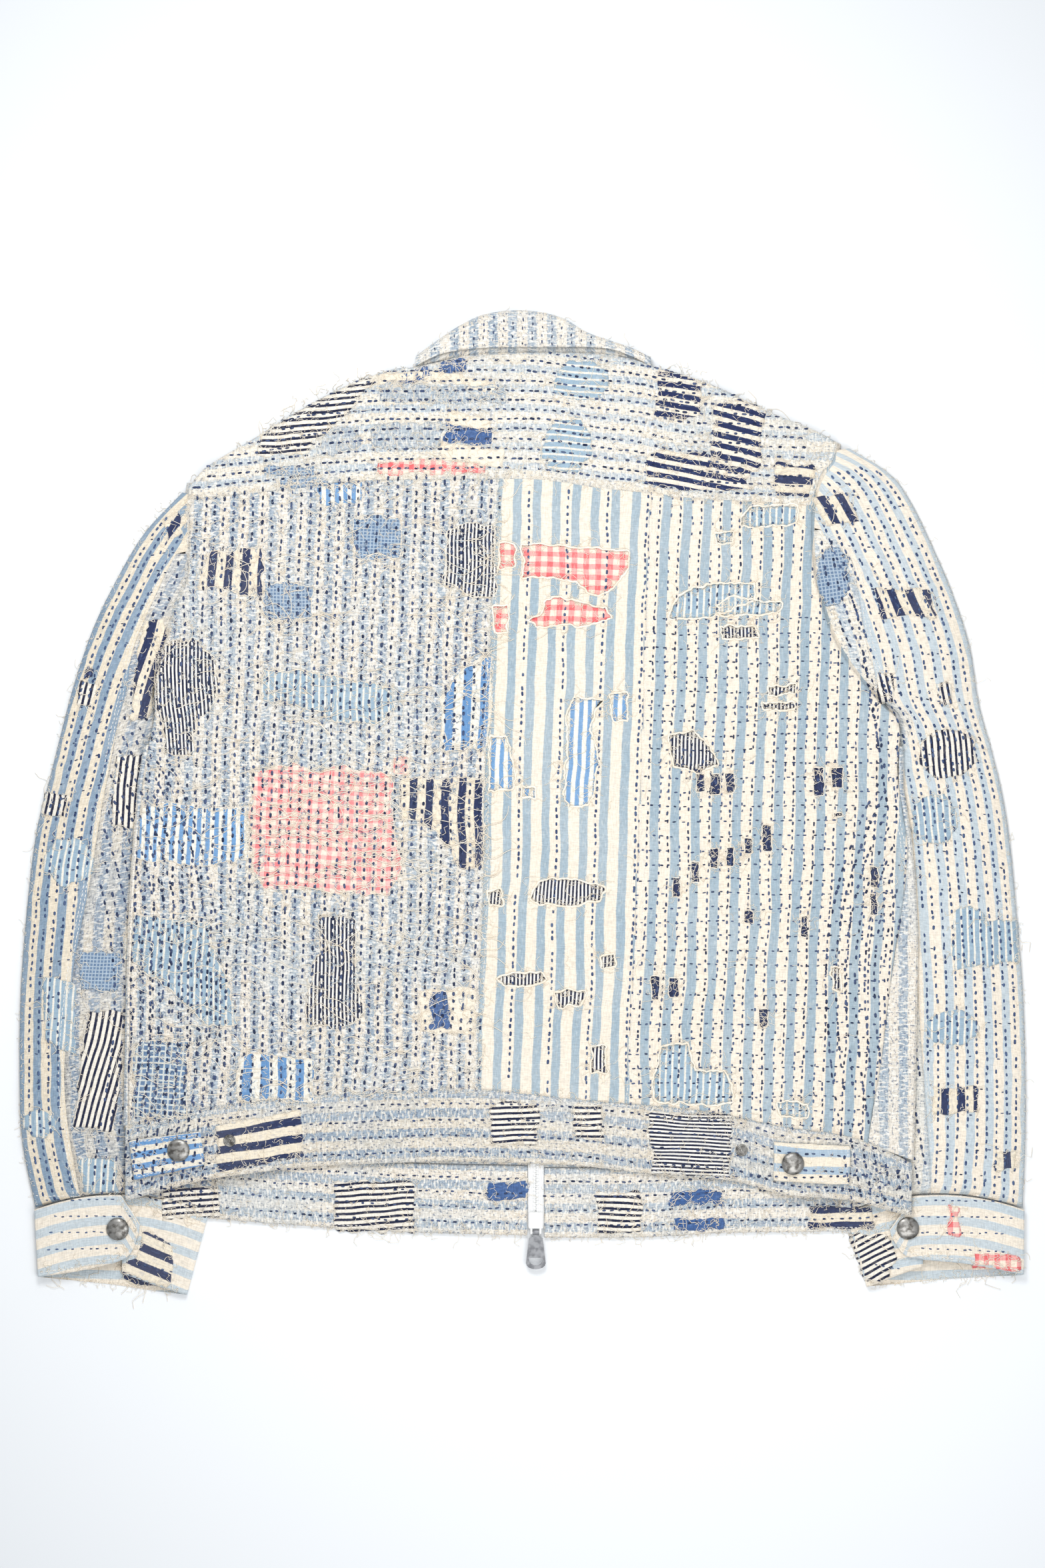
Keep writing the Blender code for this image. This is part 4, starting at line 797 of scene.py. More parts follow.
holeRings = [raggedRing(atPhoto(ring), 1.5, 100 + k) for k, (kind, ring) in enumerate(windows)]
chunkRings = [raggedRing(atPhoto(box(*chunk)), 0.8, 200 + k) for k, chunk in enumerate(navyChunks)]
seamAt = ringOf([(96.2, 400)], curve["secondSeam"], [(76.2, -400)])
splitLeft = ringOf(seamAt + (1.2, 0), [(-300, -400), (-300, 400)])
splitRight = ringOf(seamAt, [(400, -400), (400, 400)])
tears = holeRings + chunkRings
backSheets = {}
for name, ring, weave, holes, lift, grain, within in (
        ("backLeft", "backLeft", "boroCloth", [], 0.0, "left", None),
        ("backRight", "backRight", "stripedCotton", tears, 0.8, "inner", splitLeft),
        ("backOuter", "backRight", "stripedCotton", tears, 1.2, "outer", splitRight)):
    backSheets[name] = cutCloth(name + "Cloth", rings[ring], lambda x, y: backHeight(x, y) + lift,
                                cloth[weave], holes, 2.0, 2.4 + lift, backGrain[grain], None, within)
    print(name, "cut")


# Grown outlines lie under the torn cloth
def grown(ring, by):
    middle = ring.mean(0)
    away = ring - middle
    size = np.maximum(np.linalg.norm(away, axis=1), 1e-6)[:, None]
    return middle + away * (size + by) / size


# Cloth seen through the tears: name, weave, outline, how far it lies below, depth of its edge
underCloths = [(f"windowCloth_{k}", kind, grown(atPhoto(ring), 5.0), 0.5, 0.8)
               for k, (kind, ring) in enumerate(windows)]
underCloths += [(f"navyUnder_{k}", "navyChunk", grown(atPhoto(box(*chunk)), 3.0), 0.4, 0.6)
                for k, chunk in enumerate(navyChunks)]
underPieces = [cutCloth(name, ring, lambda x, y: backHeight(x, y) - below, cloth[kind], (), 2.5, drop,
                        backGrain["patch"])[0] for name, kind, ring, below, drop in underCloths]
print("window cloth laid")


# The stripes of the yoke and the bands follow an edge
def bandUv(line):
    return lambda x, y: np.column_stack([y - np.interp(x, line[:, 0], line[:, 1]), x])


fronts = ["front_left", "front_right"]
yokeSheet = cutCloth("yokeCloth", rings["yoke"], lambda x, y: backHeight(x, y) + 0.9, cloth["paleBoro"],
                     drop=5.6, uvAt=bandUv(curve["yokeSeam"]))
declareSheet(*backSheets["backLeft"], ["back_left"], 280, 486, ["front_left"], "boro_cloth")
declareSheet(*backSheets["backRight"], ["back_right"], 130, 482, ["front_right"], "striped_cloth",
             underPieces)
declareSheet(*backSheets["backOuter"], [], 212, 500, ["front_right"], "striped_cloth")
declareSheet(*yokeSheet, ["yoke"], 488, 118, fronts, "boro_cloth")
bandRows = (("waistband", "waistband_back", "waistLow", waistHeight, "waistBoro", 2.6, (592, 70), fronts),
            ("bandLeft", "waistband_front_left", "bandLeftLow", bandHeight, "boroCloth", 2.4, (300, 60),
             ["underside"]),
            ("bandRight", "waistband_front_right", "bandRightLow", bandHeight, "boroCloth", 2.4, (300, 60),
             ["underside"]))
for name, node, low, height, weave, drop, flat, restsOn in bandRows:
    made = cutCloth(name + "Cloth", rings[name], height, cloth[weave], drop=drop, uvAt=bandUv(curve[low]))
    declareSheet(*made, [node], *flat, restsOn, "boro_cloth")
print("yoke and bands cut")

# Sleeves: inner x and y, outer x and y, from the shoulder to the cuff
sleeves = {
    "left": {"rows": [(-251.6, 232, -255, 233), (-251.2, 204, -283, 203), (-253.5, 168, -303, 170),
     (-267, 131, -321, 133), (-274.8, 101, -335, 93), (-280, 77, -344, 60), (-266, 45, -354, 20),
     (-248, 10, -364, -20), (-230, -50, -371, -75), (-220, -120, -376, -140), (-222, -190, -377, -200),
     (-230, -250, -375, -252), (-236, -306, -365, -303)], "seam": [(-300, 332), (-248, 340), (-203, 343),
     (-125, 336), (-60, 324), (-3, 315), (33, 308), (60, 303), (88, 296), (117, 291), (166, 270),
     (182, 262), (200, 251)], "start": 0.12},
    "right": {"rows": [(238.6, 265, 245, 266), (227, 245, 275, 247), (219.5, 222, 291, 226),
     (218.5, 190, 307, 193), (225.5, 155, 322, 158), (241, 114, 335, 118), (264.5, 83, 342, 75),
     (286, 62, 351.5, 40), (268, 30, 360, 5), (250, -5, 366, -35), (230, -60, 371, -90),
     (221, -120, 375, -140), (224, -190, 377, -200), (232, -250, 377, -250), (241, -306, 375, -303)],
     "seam": [(-300, 306), (-277, 305), (-147, 296), (-80, 290), (0, 276), (80, 268), (119, 258),
     (160, 251), (178, 248), (195, 237), (204, 218)], "start": 0.18},
}
lowerSeam = 0.45  # of the width, on the underside
cuffBow = 12.5
middleHeight = 2.9
flatEdge = 5.0  # how far in from a fold the sleeve starts to round over


def sleeveFrame(side, rowCount):
    shape = sleeves[side]
    rows = np.array(shape["rows"], float)
    keys = np.linspace(0, 1, len(rows))
    v = np.linspace(0, 1, rowCount)
    near = hermite(keys, rows[:, :2], v)
    far = hermite(keys, rows[:, 2:], v)
    seam = np.array(sorted(shape["seam"]), float)
    split = np.zeros(rowCount)
    sign = -1.0 if side == "left" else 1.0
    for _ in range(8):
        y = near[:, 1] + (far[:, 1] - near[:, 1]) * split
        at = hermite(seam[:, 0], seam[:, 1:], y)[:, 0]
        split = np.clip((sign * at - near[:, 0]) / (far[:, 0] - near[:, 0]), 0, 0.9)
    return v, near, far, split, np.linalg.norm(far - near, axis=1)


def sleevePlan(near, far, v, t):
    spot = near + (far - near) * t[:, None]
    spot[:, 1] += cuffBow * v ** 6 * 4 * t * (1 - t)
    return spot


def sleeveHeight(side):
    source = relief["sleeve" + side.capitalize()]
    return lambda x, y: readRelief(source, x, y) + 0.9 * wrinkles(x, y) + 0.3


def roundEdge(away):
    return np.sqrt(np.clip(1 - (1 - np.clip(away / flatEdge, 0, 1)) ** 2, 0, 1))


# The left sleeve is the darker one of the two
sleeveCloths = {"left": {"outer": "sleeveShade", "under": "boroShade"},
                "right": {"outer": "sleeveCotton", "under": "paleBoro"}}
sleeveColumns = {"outer": (46, 22), "under": (26, 14)}  # on top and underneath


def makeSleeve(side):
    v, near, far, split, width = sleeveFrame(side, 170)
    start = sleeves[side]["start"]
    split = np.where(v < start, 0.0, np.maximum(split, 6 / width))
    lower = np.where(v < start, 0.0, lowerSeam)
    along = runLengths((near + far) / 2)
    height = sleeveHeight(side)
    tuck = 3.2  # goes under the cloth beside it
    foldShift = 4.3  # keeps the stripes clear of the fold
    for piece, (above, below) in sleeveColumns.items():
        grid = []
        uv = []
        for share in np.concatenate([np.linspace(0, 1, above), np.linspace(1, 2, below)[1:]]):
            onTop = share <= 1
            if piece == "outer":
                inner = np.where(v < start, -tuck / width, split)
                t = inner + (1 - inner) * share if onTop else 1 - (1 - lower) * (share - 1)
                away = (1 - t) * width
            else:
                t = split - (split + tuck / width) * share if onTop else lower * (share - 1)
                away = t * width
            spot = sleevePlan(near, far, v, t)
            if onTop:
                z = height(spot[:, 0], spot[:, 1]) - 0.45 * np.clip(-t * width, 0, tuck)
                if piece == "outer":
                    z = middleHeight + (z - middleHeight) * roundEdge(away)
            else:
                z = middleHeight - (middleHeight - 0.2) * roundEdge(away)
            grid.append(np.column_stack([spot, z]))
            roundFold = 0.8 * (z - middleHeight) + foldShift
            uv.append(np.column_stack([(1 - t) * width * (1 if onTop else -1) + roundFold, along]))
        grid = np.stack(grid, axis=1)
        uv = np.stack(uv, axis=1)
        if side == "left":
            grid = grid[:, ::-1]
            uv = uv[:, ::-1]
        if piece == "under":
            keep = v >= start
            grid = grid[keep][:, ::-1]
            uv = uv[keep][:, ::-1]
        made = gridCloth(f"sleeve{side.capitalize()}{piece.capitalize()}", grid[:, ::-1], uv[:, ::-1],
                         cloth[sleeveCloths[side][piece]], 1.0)
        widest = np.linalg.norm(np.diff(grid, axis=1), axis=2).sum(1).max()
        declareSheet(*made, [f"sleeve_{side}_{piece}"], widest, np.ptp(uv[..., 1]), ["underside"],
                     "striped_cloth" if piece == "outer" else "boro_cloth")


makeSleeve("left")
makeSleeve("right")
print("sleeves made")

# Cuff strips: upper edge x and y, lower edge x and y, height of the outside
cuffs = {
    "left": [(-286.5, -315, -287.5, -322, 7.9), (-295, -301.5, -293, -336, 7.9),
     (-306, -290, -303, -343, 7.9), (-335, -290, -332, -350, 7.9), (-362, -290, -359.5, -354, 7.9),
     (-365.5, -290, -362.5, -354.5, 4), (-362, -290, -359.5, -355.5, 0.1), (-335, -290, -334, -358, 0.1),
     (-305, -290, -306, -361, 0.1), (-272, -290, -280, -365, 0.1), (-240, -290, -256, -368, 0.1),
     (-235.5, -290, -251.5, -368.5, 2.6), (-240, -290, -256, -367, 5.1), (-270, -290, -275, -361, 5.1),
     (-300, -290, -300, -352, 5.1)],
    "right": [(275, -319, 276.5, -325, 7.9), (284, -306, 285, -337, 7.9), (294, -290, 297, -341, 7.9),
     (335, -290, 335, -345, 7.9), (371, -290, 371, -352, 7.9), (375.5, -290, 375, -353, 4),
     (371, -290, 371, -354, 0.1), (345, -290, 345, -355, 0.1), (310, -290, 308, -357.5, 0.1),
     (278, -290, 284, -360, 0.1), (247, -290, 262, -362, 0.1), (242.5, -290, 258, -362.5, 2.6),
     (247, -290, 262, -361, 5.1), (270, -290, 280, -354, 5.1), (300, -290, 300, -347, 5.1)],
}


def makeCuff(side):
    rows = np.array(cuffs[side], float)
    end = sleeves[side]["rows"][-1]
    keys = np.arange(len(rows), dtype=float)
    at = np.linspace(0, len(rows) - 1, 190)
    row = hermite(keys, rows, at)
    across = np.clip((row[:, 0] - end[0]) / (end[2] - end[0]), 0, 1)
    seam = end[1] + (end[3] - end[1]) * across
    seam += np.where(row[:, 4] > 2, cuffBow, 0) * 4 * across * (1 - across) - 1.1
    top = np.column_stack([row[:, 0], np.minimum(row[:, 1], seam)])
    low = row[:, 2:4]
    along = runLengths(low)
    grid = []
    uv = []
    for share in np.linspace(0, 1, 30):
        spot = top + (low - top) * share
        z = row[:, 4] + np.where(row[:, 4] > 4.5, 0.35 * wrinkles(spot[:, 0], spot[:, 1]), 0)
        grid.append(np.column_stack([spot, z]))
        uv.append(np.column_stack([share * np.linalg.norm(low - top, axis=1) + 3, along]))
    grid = np.stack(grid, axis=1)
    uv = np.stack(uv, axis=1)
    if side == "right":
        grid = grid[::-1]
        uv = uv[::-1]
    made = gridCloth(f"cuff{side.capitalize()}Cloth", grid, uv, cloth["sleeveCotton"], 1.6)
    declareSheet(*made, [f"cuff_{side}"], 340, 62, ["underside"], "striped_cloth")


makeCuff("left")
makeCuff("right")

# Collar: x, and the y of the neck seam, the edge of the fall and the top fold
collarRows = [
    (-80, 327, 329.5, 335), (-62, 331, 338, 348), (-48, 334, 341, 357), (-29, 336.5, 343, 365.5),
    (0, 337.3, 343.5, 368.5), (29, 337.3, 343.5, 363.5), (48, 337, 343.5, 353), (66, 336, 342, 346.5),
    (82, 332.8, 336.5, 341), (96, 327.9, 329.5, 334),
]


def makeCollar():
    rows = np.array(collarRows, float)
    x = np.linspace(rows[0, 0], rows[-1, 0], 100)
    seam, fall, fold = hermite(rows[:, 0], rows[:, 1:], x).T
    stations = [(fall - 2.0, 8.3), (0.5 * (fall + fold), 8.9), (fold - 2.0, 8.1), (fold, 5.6),
                (fold - 2.0, 3.1), (seam + 0.7, 3.1)]  # y and height round the fold
    shape = np.stack([np.column_stack([y, np.full(len(x), z)]) for y, z in stations])
    at = np.linspace(0, len(stations) - 1, 26)
    grid = []
    uv = []
    for k, column in enumerate(x):
        line = hermite(np.arange(len(stations)), shape[:, k], at)
        wave = 0.3 * softNoise(np.full(len(at), column), line[:, 0], 6.0, 77)
        grid.append(np.column_stack([np.full(len(at), column), line[:, 0], line[:, 1] + wave]))
        uv.append(np.column_stack([np.full(len(at), column), runLengths(line)]))
    grid = np.stack(grid)[::-1]
    uv = np.stack(uv)[::-1]
    made = gridCloth("collarCloth", grid, uv, cloth["boroCloth"], 1.6)
    declareSheet(*made, ["collar"], 180, 66, ["yoke"], "boro_cloth")


makeCollar()


# Hidden panels keep the CAD form, with a finer skin
def skinOf(node):
    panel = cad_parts[node].data
    mesh = bpy.data.meshes.new(node + "Skin")
    mesh.from_pydata([v.co for v in panel.vertices], [], [list(p.vertices) for p in panel.polygons])
    piece = link(node + "Skin", mesh)
    weld = piece.modifiers.new("joined corners", "WELD")
    weld.merge_threshold = 0.00001
    finer = piece.modifiers.new("finer", "SUBSURF")
    finer.subdivision_type = "SIMPLE"
    finer.levels = finer.render_levels = 1
    shown = piece.evaluated_get(bpy.context.evaluated_depsgraph_get())
    final = bpy.data.meshes.new_from_object(shown)
    piece.modifiers.clear()
    piece.data = final
    spots = np.array([v.co for v in final.vertices]) / mm
    area = sum(p.area for p in final.polygons if p.normal.z > 0.5) / mm / mm
    width, length = np.ptp(spots[:, :2], axis=0)
    width = min(width, 2.2 * area / length)
    writeUv(final, spots[:, :2])
    final.materials.clear()
    final.materials.append(cloth["boroCloth"])
    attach(piece, "jacket")
    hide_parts(node)


for node in ("front_left", "front_right", "side_left", "side_right", "collar_front"):
    skinOf(node)
print("hidden panels dressed")

# Finds the top of whatever cloth has been laid at a place by now
def surfaceNow():
    points = []
    faces = []
    for spots, quads in clothParts:
        faces += (quads + len(points)).tolist()
        points += spots.tolist()
    tree = BVHTree.FromPolygons(points, faces)

    def topOf(x, y):
        heights = np.empty(np.size(x))
        for k, (px, py) in enumerate(zip(np.ravel(x), np.ravel(y))):
            hit = tree.ray_cast(Vector((px, py, rayStart)), down)[0]
            heights[k] = hit.z if hit is not None else 0.1
        return heights.reshape(np.shape(x))

    return topOf


# Hem tabs: corners in plan, weave, turn of its stripes in degrees
tabs = {"left": {"corners": [(-294, -252), (-241, -245), (-237, -270), (-290, -281)], "weave": "tabBlue",
                 "turn": 98, "slot": "blue_cloth"},
        "right": {"corners": [(188, -253), (245, -256), (244, -285), (188, -282)], "weave": "tabPale",
                  "turn": 89, "slot": "striped_cloth"}}
for side, tab in tabs.items():
    top = reliefOf([f"tab_{side}"], 2.0, 1)
    tab["ring"] = raggedRing(tab["corners"], 0.25, 31)
    made = cutCloth(f"tab{side.capitalize()}Cloth", tab["ring"],
                    lambda x, y: readRelief(top, x, y) + 0.3 + 0.2 * wrinkles(x, y),
                    cloth[tab["weave"]], (), 1.8, 2.0, (tab["turn"], 1, 3.0))
    declareSheet(*made, [f"tab_{side}"], 58, 38, ["waistbandCloth"], tab["slot"])

# Zip: woven tapes, and teeth 2.8 mm apart
zipFacts = {"pitch": 2.8, "toothWidth": 2.5, "toothLength": 1.5, "tapeTop": 2.4, "firstTooth": 14,
            "offMiddle": 1.0}
for side in ("left", "right"):
    low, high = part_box(f"zip_tape_{side}")
    x0, y0, x1, y1 = low[0] / mm, low[1] / mm, high[0] / mm, high[1] / mm
    made = cutCloth(f"zipTape{side.capitalize()}Cloth", box(x0, y0, x1, y1),
                    lambda x, y: zipFacts["tapeTop"] + 0 * x, cloth["zipTape"], (), 1.5, 1.6)
    declareSheet(*made, [f"zip_tape_{side}"], x1 - x0, y1 - y0, ["underside"], "white_tape")


def makeTeeth():
    low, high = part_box("zip_tape_left")
    middle = (high[0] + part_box("zip_tape_right")[0][0]) / 2 / mm
    ys = np.arange(low[1] / mm + zipFacts["firstTooth"], high[1] / mm - 1, zipFacts["pitch"])
    halfX, halfY = zipFacts["toothWidth"] / 2, zipFacts["toothLength"] / 2
    outline = np.array([(-1, -1, 0), (1, -0.7, 0), (1, 0.7, 0), (-1, 1, 0)], float)
    shape = np.vstack([outline, outline * (0.9, 0.75, 1) + (0, 0, 0.8),
                       outline * (0.6, 0.4, 1) + (0, 0, 1.15)])
    faces = np.vstack([tubeFaces(3, 4), [(8, 9, 10, 11)]])
    points = []
    for y in ys:
        for side in (-1, 1):
            place = (middle + side * zipFacts["offMiddle"], y + (side > 0) * zipFacts["pitch"] / 2,
                     zipFacts["tapeTop"])
            points.append(shape * (-side * halfX, halfY, 1.0) + place)
    teeth = makeObject("zipTeeth", np.vstack(points), repeated(faces, len(points), len(shape)), whiteEnamel)


makeTeeth()


# Pieces turned on a lathe: radius and height of the profile from the rim to the middle
def turned(name, node, profile, dents=0.0, base=None):
    segments = 56
    low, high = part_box(node)
    middle = np.array([(low[0] + high[0]) / 2, (low[1] + high[1]) / 2]) / mm
    base = low[2] / mm if base is None else base(*middle) - 0.1
    profile = hermite(np.arange(len(profile)), profile, np.linspace(0, len(profile) - 1, 34))
    angle = np.arange(segments) * 2 * math.pi / segments
    loops = []
    for radius, height in profile:
        x = middle[0] + max(radius, 0.02) * np.cos(angle)
        y = middle[1] + max(radius, 0.02) * np.sin(angle)
        loops.append(np.column_stack([x, y, base + height + dents * softNoise(x, y, 2.1, 5)]))
    piece = makeObject(name, np.vstack(loops), tubeFaces(len(loops), segments), antiqueSilver)
    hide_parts(node)


capProfile = [(7.9, 0), (8.35, 0.35), (8.4, 0.9), (8.1, 1.3), (7.5, 1.75), (6.2, 2.3), (4.4, 2.7),
              (2.2, 2.92), (0, 2.98)]
socketProfile = [(4.5, 0), (4.6, 0.6), (4.3, 0.95), (3.9, 0.95), (3.6, 0.6), (3.2, 0.5), (2.9, 0.9),
                 (2.6, 0.9), (2.2, 0.5), (1.8, 0.5), (1.5, 0.95), (1.1, 0.9), (0.8, 0.3), (0, 0.2)]
for side in ("left", "right"):
    for piece in ("Cuff", "Tab"):
        turned(f"cap{piece}{side.capitalize()}", f"snap_cap_{piece.lower()}_{side}", capProfile, 0.1)
for node, material in (("zip_slider", whiteEnamel), ("zip_pull", greyMetal)):
    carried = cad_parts[node]
    carried.data.materials.clear()
    carried.data.materials.append(material)
print("tabs, zip and snaps made")


# At the armhole the body cloth turns down onto the sleeve, so that no slot shows
turnReach = {"in": 1.6, "out": 2.8, "liftIn": 0.12, "liftOut": -0.1}


def turnDown(name, line, outward, weave, grain):
    under = surfaceNow()
    line = straightLine(line, 2.0)
    ahead = np.gradient(line, axis=0)
    ahead /= np.linalg.norm(ahead, axis=1)[:, None]
    out = np.column_stack([-ahead[:, 1], ahead[:, 0]]) * outward
    inner, outer = line - turnReach["in"] * out, line + turnReach["out"] * out
    high, low = [np.convolve(np.pad(under(*spot.T) + lift, 3, "edge"), np.ones(7) / 7, "valid")
                 for spot, lift in ((inner, turnReach["liftIn"]), (outer, turnReach["liftOut"]))]
    share = np.linspace(0, 1, 6)
    plan = inner[:, None] + (outer - inner)[:, None] * share[None, :, None]
    grid = np.dstack([plan, high[:, None] + (low - high)[:, None] * share * share * (3 - 2 * share)])
    if outward > 0:
        grid = grid[::-1]
    uv = turnedGrain(grid[..., 0].ravel(), grid[..., 1].ravel(), grain)
    gridCloth(name, grid, uv, cloth[weave], 0.6)[0]


leftArmhole = np.vstack([[(-249, 240)], curve["backLeft"][curve["backLeft"][:, 1] > 86]])
rightArmhole = np.vstack([curve["yokeEnd"], curve["backRight"][curve["backRight"][:, 1] > 64]])
turnDown("armholeLeft", leftArmhole, -1, "boroCloth", backGrain["left"])
turnDown("armholeRight", rightArmhole, 1, "stripedCotton", backGrain["outer"])
topOfCloth = surfaceNow()


def blob(x0, y0, x1, y1):
    shape = [(0.06, 0.3), (0.3, 0.03), (0.7, 0.0), (0.97, 0.26), (1.0, 0.7), (0.72, 0.98), (0.3, 1.0),
             (0.02, 0.72)]
    return [(x0 + (x1 - x0) * a, y0 + (y1 - y0) * b) for a, b in shape]


